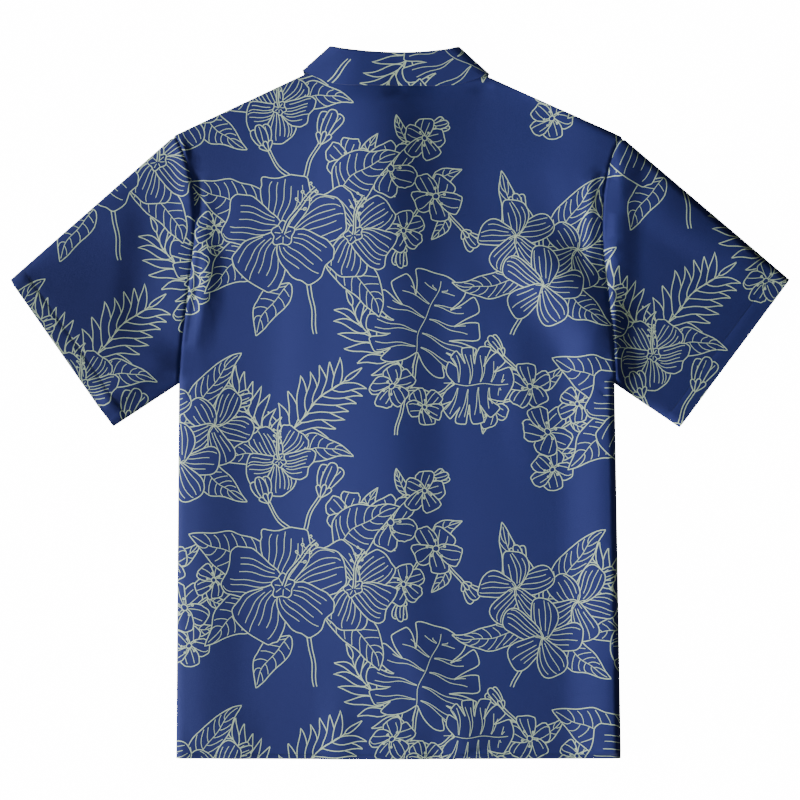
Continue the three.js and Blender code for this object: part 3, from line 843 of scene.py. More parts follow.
def strokes_over(outline, shift):
    """Corners and quads of every stroke of the print that touches a piece."""
    line_width = bpy.context.scene.shirt_sizes.line_width / MM
    corners, quads, count = [np.zeros((0, 2))], [], 0
    for run, weight in runs_over(outline, shift):
        width = line_width * weight
        line = thinned(run)
        left, right = stroke(line, width)
        corners.append(np.stack([left, right], 1).reshape(-1, 2))
        spare = []
        for k in range(len(left) - 1):
            a = count + 2 * k
            if sound(left[k], right[k], right[k + 1], left[k + 1]):
                quads.append((a, a + 1, a + 3, a + 2))
            elif np.hypot(*(line[k + 1] - line[k])) > SHORT_STEP:
                base = count + 2 * len(left) + len(spare)
                plain_left, plain_right = stroke(line[k : k + 2], width)
                spare += [plain_left[0], plain_right[0], plain_right[1], plain_left[1]]
                quads.append((base, base + 1, base + 2, base + 3))
        if spare:
            corners.append(np.array(spare))
        count += 2 * len(left) + len(spare)
    return np.vstack(corners), quads


def ground_points(outline, taken, spacing):
    """Points in rows over a piece, clear of those already taken."""
    low, high = outline.min(0), outline.max(0)
    xs = np.arange(low[0] + spacing / 2, high[0], spacing)
    ys = np.arange(low[1] + spacing / 2, high[1], spacing)
    grid = np.stack(np.meshgrid(xs, ys, indexing="ij"), -1)
    grid[1::2, :, 1] += spacing / 2
    grid = grid.reshape(-1, 2)
    grid = grid[inside(grid, outline)]
    cell = spacing * 0.45
    size = ((high - low) / cell).astype(int) + 5
    full = np.zeros(size, bool)
    at = np.clip(((taken - low) / cell).astype(int) + 2, 1, size - 2)
    for dx in (-1, 0, 1):
        for dy in (-1, 0, 1):
            full[at[:, 0] + dx, at[:, 1] + dy] = True
    at = ((grid - low) / cell).astype(int) + 2
    return grid[~full[at[:, 0], at[:, 1]]]


def guide_rows(outline, guides):
    """The stretches of each guide that lie well inside an outline."""
    rows = []
    for guide in guides:
        clear = distance_to_path(guide, np.vstack([outline, outline[:1]])) > 0.1
        runs = np.split(guide, changes(inside(guide, outline) & clear))
        rows += [run for run in runs if inside(run[:1], outline)[0] and len(run) > 1]
    return rows


def cut_cloth(name, outline, lay, guides, shift, spacing, slits, face_down):
    """One piece of printed cloth as an open sheet: cut flat, printed, then laid in its place."""
    outline = np.asarray(outline, float)
    corners, quads = strokes_over(outline, np.asarray(shift, float))
    rows = guide_rows(outline, guides)
    ground = ground_points(outline, np.vstack([corners, outline, *rows]), spacing)
    points = [outline, corners]
    edges = [(i, (i + 1) % len(outline)) for i in range(len(outline))]
    faces = [[len(outline) + i for i in quad] for quad in quads]
    count = len(outline) + len(corners)
    for slit in slits:
        points.append(slit)
        faces.append(list(range(count, count + len(slit))))
        count += len(slit)
    first_slit = len(faces) - len(slits)
    for row in rows:
        edges += [(count + i, count + i + 1) for i in range(len(row) - 1)]
        count += len(row)
    points += [*rows, ground]
    flat = np.vstack(points)
    made = delaunay_2d_cdt([Vector(p) for p in flat.tolist()], edges, faces, 0, 1e-4, True)
    at = np.array([tuple(v) for v in made[0]])
    within = inside(at[np.array(made[2])].mean(1), outline)
    kept, inked = [], []
    for triangle, origins, own in zip(made[2], made[5], within):
        if not own or any(o >= first_slit for o in origins):
            continue
        kept.append(triangle[::-1] if face_down else triangle)
        inked.append(1.0 if origins else 0.0)
    if sum(inked) > 0.8 * len(inked):
        raise RuntimeError(name + ": the print has run over the whole cloth")
    used = np.unique(np.array([i for t in kept for i in t]))
    number = np.zeros(len(at), int)
    number[used] = np.arange(len(used))
    at = at[used]
    placed = lay(at) * MM
    mesh = bpy.data.meshes.new(name)
    mesh.from_pydata(placed.tolist(), [], [[int(number[i]) for i in t] for t in kept])
    mesh.attributes.new("ink", "FLOAT", "FACE").data.foreach_set("value", inked)
    uv = mesh.uv_layers.new(name="cut")
    loops = np.empty(len(mesh.loops), np.int32)
    mesh.loops.foreach_get("vertex_index", loops)
    uv.uv.foreach_set("vector", (at[loops] * MM).ravel())
    piece = bpy.data.objects.new(name, mesh)
    bpy.context.scene.collection.objects.link(piece)
    return piece


def declare_cut(outline, parts=()):
    """Works out the width, length and area of the flat piece as it was cut, and keeps none of them."""
    width, length = (outline.max(0) - outline.min(0)) * MM
    area = abs(signed_area(outline)) * MM**2


def only(piece):
    """Selects one piece and makes it active."""
    bpy.ops.object.select_all(action="DESELECT")
    piece.select_set(True)
    bpy.context.view_layer.objects.active = piece


def thicken(piece, thickness):
    """Gives a sheet its cloth's thickness, with the plain side of the cloth inside."""
    piece.data.materials.append(printed_cloth())
    piece.data.materials.append(cloth_inside())
    only(piece)
    wall = piece.modifiers.new("cloth", "SOLIDIFY")
    wall.thickness = thickness
    wall.offset = 0
    wall.material_offset = 1
    wall.material_offset_rim = 0
    bpy.ops.object.modifier_apply(modifier=wall.name)
    bpy.ops.object.shade_smooth_by_angle(angle=math.radians(48))


# Materials

THREADS_PER_METRE = 1500


class Wire:
    """A shader socket that takes part in Python sums."""

    def __init__(self, sketch, socket):
        self.sketch = sketch
        self.socket = socket

    def sum(self, operation, *values):
        return self.sketch.node("ShaderNodeMath", {"operation": operation}, dict(enumerate(values)))

    def sine(self):
        return self.sum("SINE", self)

    def __add__(self, other):
        return self.sum("ADD", self, other)

    def __radd__(self, other):
        return self.sum("ADD", other, self)

    def __sub__(self, other):
        return self.sum("SUBTRACT", self, other)

    def __rsub__(self, other):
        return self.sum("SUBTRACT", other, self)

    def __mul__(self, other):
        return self.sum("MULTIPLY", self, other)

    def __rmul__(self, other):
        return self.sum("MULTIPLY", other, self)


class Finish:
    """A material whose nodes are added one call at a time."""

    def __init__(self, name):
        self.material = bpy.data.materials.new(name)
        self.material.use_nodes = True
        self.tree = self.material.node_tree
        self.shader = self.tree.nodes["Principled BSDF"]

    def node(self, kind, settings=None, values=None, output=0):
        made = self.tree.nodes.new(kind)
        for key, value in (settings or {}).items():
            setattr(made, key, value)
        for key, value in (values or {}).items():
            self.feed(made.inputs[key], value)
        return Wire(self, made.outputs[output])

    def feed(self, socket, value):
        if isinstance(value, Wire):
            self.tree.links.new(value.socket, socket)
        else:
            socket.default_value = value

    def set(self, **values):
        for key, value in values.items():
            self.feed(self.shader.inputs[key.replace("_", " ")], value)

    def blend(self, factor, first, second, kind="MIX"):
        """Two colours mixed, which enter the node at its inputs 6 and 7 and leave it at its output 2."""
        settings = {"data_type": "RGBA", "blend_type": kind, "clamp_factor": True}
        return self.node("ShaderNodeMix", settings, {0: factor, 6: first, 7: second}, output=2)

    def noise(self, at, scale, detail=2.0, roughness=0.5):
        values = {"Vector": at, "Scale": scale, "Detail": detail, "Roughness": roughness}
        return self.node("ShaderNodeTexNoise", {}, values)

    def bump(self, height, distance, strength):
        values = {"Height": height, "Distance": distance, "Strength": strength}
        return self.node("ShaderNodeBump", {}, values)


def opaque(colour, share=1.0):
    return tuple(channel * share for channel in colour) + (1.0,)


def weave_height(finish, at):
    """Fine threads that cross, from the piece's own flat cut."""
    across = finish.node("ShaderNodeSeparateXYZ", {}, {0: at})
    along = Wire(finish, across.socket.node.outputs[1])
    turns = THREADS_PER_METRE * 2 * math.pi
    return (across * turns).sine() * (along * turns).sine()


def cloth_finish(name, ground, line, line_share):
    finish = Finish(name)
    at = finish.node("ShaderNodeUVMap", {"uv_map": "cut"})
    ink = finish.node("ShaderNodeAttribute", {"attribute_name": "ink"}, output=2)
    broad = finish.noise(at, 9.0, 2.0)
    fine = finish.noise(at, 900.0, 2.0, 0.6)
    tone = finish.blend(broad, opaque(ground, 0.94), opaque(ground, 1.06))
    worn_line = finish.blend(fine, opaque(line, 0.86), opaque(line, 1.08))
    colour = finish.blend(ink * line_share, tone, worn_line)
    grain = 0.9 + 0.2 * fine
    grey = finish.node("ShaderNodeCombineColor", {}, {0: grain, 1: grain, 2: grain})
    colour = finish.blend(1.0, colour, grey, "MULTIPLY")
    finish.set(Base_Color=colour, Roughness=0.66 + 0.1 * broad, Sheen_Weight=0.1, Sheen_Roughness=0.45)
    finish.shader.inputs["Specular IOR Level"].default_value = 0.24
    height = weave_height(finish, at) * 0.25 + finish.noise(at, 420.0, 3.0, 0.6)
    finish.set(Normal=finish.bump(height, 0.00035, 0.55))
    return finish.material


def named(name):
    return bpy.data.materials.get(name)


def printed_cloth():
    colours = bpy.context.scene.shirt_colours
    name = "printed cloth"
    return named(name) or cloth_finish(name, colours.ground, colours.line, 1.0)


def cloth_inside():
    colours = bpy.context.scene.shirt_colours
    name = "inside of the cloth"
    return named(name) or cloth_finish(name, colours.inside, colours.line, 0.22)


def button_shell():
    if named("button shell"):
        return named("button shell")
    colours = bpy.context.scene.shirt_colours
    finish = Finish("button shell")
    at = finish.node("ShaderNodeTexCoord", {}, output=3)
    cloud = finish.noise(at, 160.0, 3.0, 0.55)
    wave = {"Vector": at, "Scale": 90.0, "Distortion": 9.0, "Detail": 3.0}
    streak = finish.node("ShaderNodeTexWave", {}, wave, output=1)
    colour = finish.blend(cloud, opaque(colours.button, 0.75), opaque(colours.button, 1.35))
    colour = finish.blend(streak * 0.35, colour, opaque(colours.button, 1.9))
    finish.set(Base_Color=colour, Roughness=0.2 + 0.16 * cloud, Coat_Roughness=0.12)
    finish.shader.inputs["Coat Weight"].default_value = 0.4
    finish.set(Normal=finish.bump(finish.noise(at, 900.0), 0.00003, 0.4))
    return finish.material


def thread():
    if named("thread"):
        return named("thread")
    colours = bpy.context.scene.shirt_colours
    finish = Finish("thread")
    at = finish.node("ShaderNodeTexCoord", {}, output=3)
    fibre = finish.noise(at, 2600.0, 2.0, 0.6)
    colour = finish.blend(fibre, opaque(colours.thread, 0.8), opaque(colours.thread, 1.25))
    finish.set(Base_Color=colour, Roughness=0.5 + 0.2 * fibre)
    finish.set(Normal=finish.bump(fibre, 0.0001, 0.5))
    return finish.material


def finish_piece(piece, nodes):
    if nodes:
        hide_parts(*nodes)
    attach(piece, "root")


# Stitching

STITCH_LENGTH = 2.3
STITCH_PITCH = 3.1
STITCH_WIDTH = 0.42
STITCH_DEPTH = STITCH_WIDTH * 0.8
# The thicker thread of the buttonholes and the buttons.
THREAD_WIDTH = 0.5
THREAD_DEPTH = 0.45
BUTTONHOLE_DEPTH = 0.42


def stitch_template():
    """One stitch along X: a short thread with rounded ends. Its points and faces."""
    bpy.ops.object.select_all(action="DESELECT")
    bpy.ops.mesh.primitive_cylinder_add(vertices=6, radius=0.5, depth=1.0, rotation=(0, math.pi / 2, 0))
    model = bpy.context.object
    bpy.ops.object.transform_apply(location=False, rotation=True, scale=False)
    edit = bmesh.new()
    edit.from_mesh(model.data)
    ends = [f for f in edit.faces if abs(f.normal.x) > 0.9]
    bmesh.ops.inset_region(edit, faces=ends, thickness=0.16, depth=0.0)
    for face in ends:
        for vert in face.verts:
            vert.co.x *= 1.16
    edit.verts.ensure_lookup_table()
    points = np.array([tuple(v.co) for v in edit.verts])
    faces = [[v.index for v in f.verts] for f in edit.faces]
    edit.free()
    bpy.data.objects.remove(model)
    return points, faces


def bar(ends, facing, width, depth, length=None):
    """A thread from one place to another: its middle, its way, the way it faces and its size."""
    way = ends[1] - ends[0]
    run = max(np.linalg.norm(way), 1e-9)
    way = way / run
    facing = facing - way * (facing @ way)
    facing /= max(np.linalg.norm(facing), 1e-9)
    return (ends[0] + ends[1]) / 2, way, facing, (length or run, width, depth)


def thread_piece(name, bars):
    """Many short threads as one piece."""
    shape, faces = stitch_template()
    points, all_faces = [], []
    for index, (middle, way, facing, size) in enumerate(bars):
        local = shape * size
        side = np.cross(facing, way)
        points.append(middle + local[:, :1] * way + local[:, 1:2] * side + local[:, 2:] * facing)
        all_faces += [[index * len(shape) + i for i in face] for face in faces]
    mesh = bpy.data.meshes.new(name)
    mesh.from_pydata((np.vstack(points) * MM).tolist(), [], all_faces)
    mesh.materials.append(thread())
    piece = bpy.data.objects.new(name, mesh)
    bpy.context.scene.collection.objects.link(piece)
    only(piece)
    bpy.ops.object.shade_smooth()
    finish_piece(piece, ())
    return piece


def sew(name, runs):
    """Stitches along paths that are given as points with the way the cloth faces, as one piece."""
    bars = []
    for path, up in runs:
        steps = np.r_[0, np.cumsum(np.linalg.norm(np.diff(path, axis=0), axis=1))]

        def along(s, values):
            return np.array([np.interp(s, steps, values[:, k]) for k in range(3)])

        for s in np.arange(STITCH_PITCH / 2, steps[-1], STITCH_PITCH):
            ends = along(s - STITCH_LENGTH / 2, path), along(s + STITCH_LENGTH / 2, path)
            bars.append(bar(ends, along(s, up), STITCH_WIDTH, STITCH_DEPTH, STITCH_LENGTH))
    return thread_piece(name, bars)


def sewn_run(path, lay, out, lift):
    """A flat path as places just proud of a piece's outer side, and the way that side faces."""
    flat = even(path, 1.5)
    place = lay(flat)
    step = 0.4
    ahead = lay(flat + (step, 0)) - lay(flat - (step, 0))
    across = lay(flat + (0, step)) - lay(flat - (0, step))
    up = np.cross(ahead, across)
    up /= np.maximum(np.linalg.norm(up, axis=1), 1e-9)[:, None]
    up *= out
    return place + up * lift, up


# The pieces of cloth

# Where the print's repeat starts on each piece, and how far apart the points of its ground are.
PRINT_ON = {
    "back": ((-176, -70), 9),
    "front_left": ((-40, 60), 7.5),
    "front_right": ((150, -130), 7.5),
    "sleeve_left": ((-388, 10), 6.5),
    "sleeve_right": ((228, 44), 6.5),
    "collar_stand": ((30, 120), 4.5),
    "collar_fall": ((60, 250), 4.5),
}
STITCH_LIFT = 0.6
BACK_STITCH_LIFT = 0.62
BUTTONHOLE_LIFT = 0.55
GUIDE_STEPS = (0.15, 0.6, 1.4, 2.6, 4.2, 6.5, 9.2)
SEAM_STEPS = (0.4, 1.0, 1.8, 3.2, 5.5)
HEM_STEPS = (0.4, 2.6, 4.2, 5.0, 5.8, 7.4)
CUFF_STEPS = (0.4, 3.0, 9.0, 16.5, 17.4, 18.0, 18.6, 19.5)
HEM_STITCH = 5.0
CUFF_STITCH = 18.0
EDGE_STITCH = 5.0


def cloth_piece(name, node, outline, lay, guides, thickness, slits=(), face_down=False):
    """A piece of cloth that is cut, printed, laid and given its thickness, and stands for a node."""
    shift, spacing = PRINT_ON[node]
    piece = cut_cloth(name, outline, lay, guides, shift, spacing, slits, face_down)
    thicken(piece, thickness)
    finish_piece(piece, [node])
    return piece


def beside(path, away, step=6.0):
    """A path moved sideways, to the left of its own run."""
    line = even(path, step)
    way = np.gradient(line, axis=0)
    way /= np.hypot(*way.T)[:, None]
    return line + leftward(way) * away


def hem_line(level, width, depth):
    """A shallow trough along a row of stitches and the ridge of turned cloth before it."""

    def relief(away):
        trough = depth * np.exp(-(((away - level) / width) ** 2))
        turned_cloth = 0.28 * (1 - smooth((away - level) / 1.6))
        return turned_cloth - trough

    return relief


BODY_HEM = hem_line(HEM_STITCH, 0.9, 0.42)
CUFF_HEM = hem_line(CUFF_STITCH, 1.3, 0.45)


def side_path(side, step=6.0):
    corners = CORNERS[side]
    return even([corners["hem"], corners["underarm"]], step)


def shoulder_path(side, step=6.0):
    corners = CORNERS[side]
    return even([corners["shoulder"], corners["neck"]], step)


def back_outline():
    """The back's outline, anticlockwise from the left hem corner."""
    left, right = CORNERS["left"], CORNERS["right"]
    shares = np.linspace(1, 0, 40)

    def neck(side, shares):
        return pairs(neck_x(side, shares), neckline(side, shares, BACK_NECK, BACK_NECK_POWER))

    return joined(
        even([left["hem"], right["hem"]], 4),
        side_path("right", 5),
        armhole("right", np.linspace(1, 0, 66)),
        shoulder_path("right", 5),
        neck("right", shares),
        neck("left", shares[::-1]),
        shoulder_path("left", 5)[::-1],
        armhole("left", np.linspace(0, 1, 66)),
        side_path("left", 5)[::-1],
    )


def body_guides(sides):
    guides = []
    for side in sides:
        sign = INWARD[side]
        for away in GUIDE_STEPS:
            guides.append(beside(side_path(side), -sign * away))
            guides.append(beside(shoulder_path(side), -sign * away))
        for away in SEAM_STEPS:
            guides.append(beside(ARMHOLES[side], sign * away, 3.2))
    for away in HEM_STEPS:
        guides.append(even([(-238, HEM_LEVEL + away), (234, HEM_LEVEL + away)], 4))
    return guides


def back_lay(points):
    relief = seam_dip(points) + BODY_HEM(points[:, 1] - HEM_LEVEL)
    return np.column_stack([points, upper_level(points, EDGE_LIFT) + relief * turned_in(points)])


def make_back():
    sizes = bpy.context.scene.shirt_sizes
    outline = back_outline()
    guides = body_guides(("left", "right")) + crease_guides()
    piece = cloth_piece("shirt_back", "back", outline, back_lay, guides, sizes.cloth)
    y = HEM_LEVEL + HEM_STITCH
    hem = sew("back_hem_stitching", [sewn_run([(-240, y), (236, y)], back_lay, 1, BACK_STITCH_LIFT)])
    declare_cut(outline, [hem])


def front_lay(side):
    def lay(points):
        above = over_left_front(points) if side == "right" else 0.0
        z = lower_level(points, above, EDGE_LIFT)
        pressed = np.maximum(0, -BODY_HEM(points[:, 1] - HEM_LEVEL))
        pressed += 0.4 * np.maximum(0, -seam_dip(points))
        from_stitches = points[:, 0] - FRONT_LINE - INWARD[side] * (OVERLAP - EDGE_STITCH)
        pressed += 0.3 * np.exp(-((from_stitches / 0.9) ** 2))
        return np.column_stack([points, z + pressed * turned_in(points)])

    return lay


def front_outline(side):
    corners = CORNERS[side]
    sign = INWARD[side]
    edge_x = FRONT_LINE + sign * OVERLAP
    shares = np.linspace(1, 0, 50)
    neck = pairs(neck_x(side, shares), neckline(side, shares, FRONT_NECK, FRONT_NECK_POWER))
    outline = joined(
        even([corners["hem"], (edge_x, corners["hem"][1])], 4),
        even([(edge_x, corners["hem"][1]), (edge_x, FRONT_NECK)], 4),
        neck[::-1],
        shoulder_path(side, 5)[::-1],
        armhole(side, np.linspace(0, 1, 66)),
        side_path(side, 5)[::-1],
    )
    return outline if side == "left" else outline[::-1]


SLIT_LENGTH = 13.2
SLIT_WIDTH = 0.7
LIP_PITCH = 0.62
LIP_STITCH = (0.45, 1.75)
BAR_AT = 7.1
BAR_HALF = 1.8


def buttonhole(y):
    """The slit of a buttonhole, anticlockwise."""
    corners = [(-SLIT_WIDTH, -SLIT_LENGTH), (SLIT_WIDTH, -SLIT_LENGTH), (SLIT_WIDTH, SLIT_LENGTH)]
    corners.append((-SLIT_WIDTH, SLIT_LENGTH))
    return np.array(corners) / 2 + (FRONT_LINE, y)


def make_front(side):
    sizes = bpy.context.scene.shirt_sizes
    sign = INWARD[side]
    lay = front_lay(side)
    edge_x = FRONT_LINE + sign * OVERLAP
    guides = body_guides((side,))
    guides += [even([(edge_x - sign * d, -380), (edge_x - sign * d, 270)], 5) for d in (0.5, 4.2, 5.0, 5.8)]
    rows = [middle_of(name)[1] for name in BUTTONS]
    slits = [buttonhole(y) for y in rows] if side == "left" else ()
    node, outline = "front_" + side, front_outline(side)
    piece = cloth_piece("shirt_" + node, node, outline, lay, guides, sizes.cloth, slits, face_down=True)
    y = HEM_LEVEL + HEM_STITCH
    hem_end = CORNERS[side]["hem"][0] + sign * 3
    x = edge_x - sign * EDGE_STITCH
    paths = ([(hem_end, y), (edge_x, y)], [(x, -382), (x, 276)])
    parts = [sew(node + "_stitching", [sewn_run(path, lay, -1, STITCH_LIFT) for path in paths])]
    if side == "left":
        parts.append(make_buttonholes(rows, lay))
    declare_cut(outline, parts)


def make_buttonholes(rows, lay):
    """Close stitches across both lips of each buttonhole, and a bar at each end."""
    runs = []
    for y in rows:
        for dy in np.arange(-SLIT_LENGTH / 2, SLIT_LENGTH / 2 + 0.1, LIP_PITCH):
            for sign in (-1, 1):
                runs.append([(FRONT_LINE + sign * away, y + dy) for away in LIP_STITCH])
        for end in (-BAR_AT, BAR_AT):
            runs.append([(FRONT_LINE - BAR_HALF, y + end), (FRONT_LINE + BAR_HALF, y + end)])
    bars = []
    for run in runs:
        place, up = sewn_run(run, lay, -1, BUTTONHOLE_LIFT)
        bars.append(bar(place[[0, -1]], up[0], THREAD_WIDTH, BUTTONHOLE_DEPTH))
    return thread_piece("buttonholes", bars)


# Sleeves: each is one piece, folded along its top edge and sewn along the underarm.

UNDERARM_LIFT = 0.16
UNDERARM_FADE = 20
UNDERSIDE_SHARE = 0.6
FOLD_CLEAR = 0.6

def left_of(a, b):
    """The way that points to the left of a walk from one corner to another, one long."""
    way = np.array(b, float) - np.array(a, float)
    return leftward(way / np.hypot(*way))


def over_fold_out(side):
    """The way that points out of the sleeve across its top fold."""
    return left_of(CORNERS[side]["shoulder"], CORNERS[side]["cuff_top"]) * -INWARD[side]


def over_fold(side, points):
    """How far points lie past the sleeve's top fold, and their mirror places across it."""
    out = over_fold_out(side)
    past = (points - np.array(CORNERS[side]["shoulder"], float)) @ out
    return past, points - 2 * past[:, None] * out


def cuff_distance(side, points):
    a, b = CORNERS[side]["cuff_top"], CORNERS[side]["cuff_under"]
    return np.abs((points - np.array(a, float)) @ left_of(a, b))


def sleeve_lay(side):
    seam = np.array([CORNERS[side]["underarm"], CORNERS[side]["cuff_under"]], float)

    def lay(points):
        past, mirror = over_fold(side, points)
        under = past > 0
        plan = np.where(under[:, None], mirror, points)
        lift = UNDERARM_LIFT * (1 - smooth(distance_to_path(plan, seam) / UNDERARM_FADE))
        relief = (seam_dip(plan) + CUFF_HEM(cuff_distance(side, plan))) * turned_in(plan)
        upper = upper_level(plan, lift) + relief
        lower = lower_level(plan, 0.0, lift) + np.maximum(0, -relief) * UNDERSIDE_SHARE
        return np.column_stack([plan, np.where(under, lower, upper)])

    return lay


def sleeve_outlines(side):
    """The outline of the sleeve's upper half, and of the whole sleeve as it is cut, anticlockwise."""
    corners = CORNERS[side]
    head = sleeve_head(side, np.linspace(0, 1, 66))
    fold_start = head[0] - over_fold_out(side) * over_fold(side, head[:1])[0]
    upper = np.vstack(
        [
            fold_start,
            head[over_fold(side, head)[0] < -FOLD_CLEAR],
            even([sleeve_head(side, 1.0), corners["cuff_under"]], 5),
            even([corners["cuff_under"], corners["cuff_top"]], 4),
        ]
    )
    mirrored = over_fold(side, upper)[1]
    whole = joined(upper, mirrored[::-1][1:-1])
    return joined(upper), whole if signed_area(whole) > 0 else whole[::-1]


def sleeve_guides(side, upper):
    corners, sign = CORNERS[side], INWARD[side]
    head = sleeve_head(side, np.linspace(0, 1, 48))
    fold = even([corners["shoulder"], corners["cuff_top"]], 6)
    under = even([corners["underarm"], corners["cuff_under"]], 6)
    cuff = even([corners["cuff_top"], corners["cuff_under"]], 6)
    layers = [beside(head, -sign * away, 3.2) for away in SEAM_STEPS]
    for away in GUIDE_STEPS:
        layers += [beside(fold, away * sign), beside(under, -away * sign)]
    layers += [beside(cuff, away * sign) for away in CUFF_STEPS]
    guides = []
    for row in guide_rows(upper, layers):
        guides += [row, over_fold(side, row)[1]]
    return guides + [fold[1:-1]]


def make_sleeve(side):
    sizes = bpy.context.scene.shirt_sizes
    corners = CORNERS[side]
    upper, outline = sleeve_outlines(side)
    node, lay = "sleeve_" + side, sleeve_lay(side)
    piece = cloth_piece("shirt_" + node, node, outline, lay, sleeve_guides(side, upper), sizes.cloth)
    cuff = even([corners["cuff_top"], corners["cuff_under"]], 3)
    line = beside(cuff, CUFF_STITCH * INWARD[side], 3)[3:-2]
    runs = [sewn_run(path, lay, 1, STITCH_LIFT) for path in (line, over_fold(side, line)[1])]
    declare_cut(outline, [sew(node + "_stitching", runs)])


# The collar


COLLAR = {
    "left": {"fold_end": (-74, 382), "edge_end": (-105.5, 359), "point": (-68, 256)},
    "right": {"fold_end": (62, 381.6), "edge_end": (96.4, 355.2), "point": (60, 255)},
}
COLLAR_MIDDLE = -6
COLLAR_ROLL = 1.6
FOLD_DIP = 375.4
FRONT_FOLD = 305
EDGE_MIDDLE = 341.5
STAND_BACK_LEVEL = 15.6
COLLAR_REST = 0.75
FALL_EDGE_LEVEL = 17.5
FALL_OVER_BACK = 2
NECK_SEAM_GAP = 0.72
SWELL_X = -56
SWELL_REACH = (44, 140)
SWELL_HEIGHT = 6.0
SWELL_DROP = 3.8
# Lengths of half the ring's back and front, which say how much of each the turn at the side takes up.
NECK_RUN = FRONT_LINE - CORNERS["left"]["neck"][0]
FRONT_NECK_SHARE = 2.3
FOLD_RUNS = (70, 105)
EDGE_RUNS = (100, 108)


def collar_places():
    """Places on half of the ring round the neck: stretch, share of it and turn of the cloth in degrees."""
    back = [("back", w, 90.0) for w in np.linspace(0, 1, 26)]
    turn_back = [("turn back", 1.0, a) for a in np.linspace(90, 0, 10)[1:]]
    turn_front = [("turn front", 0.0, a) for a in np.linspace(0, -90, 10)[1:]]
    front = [("front", w, -90.0) for w in np.linspace(0, 1, 34)[1:]]
    return back + turn_back + turn_front + front


def ring_point(back, front, run_back, run_front, top, bottom, place):
    stretch, share, turn = place
    angle = math.radians(turn)
    turn_run = ROLL * (1 - math.cos(angle))
    if stretch == "back":
        along = share * (1 - ROLL / run_back)
    elif stretch == "turn back":
        along = 1 - turn_run / run_back
    elif stretch == "turn front":
        along = turn_run / run_front
    else:
        along = lerp(ROLL / run_front, 0.985, share)
    x, y = back(along) if "back" in stretch else front(along)
    x, y = float(x), float(y)
    return np.array([x, y, lerp(bottom(x, y), top(x, y), (1 + math.sin(angle)) / 2)])


def at_one(level):
    return lambda x, y: float(level(np.array([[x, y]], float))[0])


def collar_swell(x):
    """The collar's back stands a little higher on its left, and falls off slowly to its right."""
    reach = SWELL_REACH[0] if x < SWELL_X else SWELL_REACH[1]
    return SWELL_HEIGHT * max(0.0, 1 - ((x - SWELL_X) / reach) ** 2) ** 2 - SWELL_DROP


def collar_ribs():
    """Round the neck: a place on the seam, the fold and the fall's edge, the way up and the way out."""
    back_level = at_one(upper_level)
    halves = []
    for side in ("left", "right"):
        shape = COLLAR[side]
        fold_end, edge_end, point = shape["fold_end"], shape["edge_end"], shape["point"]
        above = over_left_front if side == "right" else (lambda p: np.zeros(len(p)))
        ribs = []
        for place in collar_places():
            low = ring_point(
                lambda t: (neck_x(side, t), neckline(side, t, BACK_NECK, BACK_NECK_POWER)),
                lambda t: (neck_x(side, 1 - t), neckline(side, 1 - t, FRONT_NECK, FRONT_NECK_POWER)),
                NECK_RUN,
                NECK_RUN * FRONT_NECK_SHARE,
                back_level,
                at_one(lambda p: lower_level(p, above(p))),
                place,
            )
            high = ring_point(
                lambda t: (lerp(COLLAR_MIDDLE, fold_end[0], t), lerp(FOLD_DIP, fold_end[1], t**2)),
                lambda t: (lerp(fold_end[0], FRONT_LINE, t), lerp(fold_end[1], FRONT_FOLD, t)),
                *FOLD_RUNS,
                lambda x, y: STAND_BACK_LEVEL + collar_swell(x),
                lambda x, y: COLLAR_REST + 2 * COLLAR_ROLL,
                place,
            )
            outer = ring_point(
                lambda t: (
                    lerp(COLLAR_MIDDLE, edge_end[0], t),
                    lerp(EDGE_MIDDLE, edge_end[1], max(0.0, (t - 0.45) / 0.55) ** 2),
                ),
                lambda t: (lerp(edge_end[0], point[0], t), lerp(edge_end[1], point[1], t)),
                *EDGE_RUNS,
                lambda x, y: max(FALL_EDGE_LEVEL, back_level(x, y) + FALL_OVER_BACK) + collar_swell(x),
                lambda x, y: COLLAR_REST,
                place,
            )
            up = (high - low) / np.linalg.norm(high - low)
            flat = np.array([up[1], -up[0], 0]) * -INWARD[side]
            flat /= max(np.linalg.norm(flat), 1e-9)
            angle = math.radians(place[2])
            out = flat * math.cos(angle) + np.array([0, 0, math.sin(angle)])
            out -= up * (out @ up)
            out /= np.linalg.norm(out)
            ribs.append((low, high, outer, up, out))
        halves.append(ribs)
    return halves[0][::-1][:-1] + halves[1]


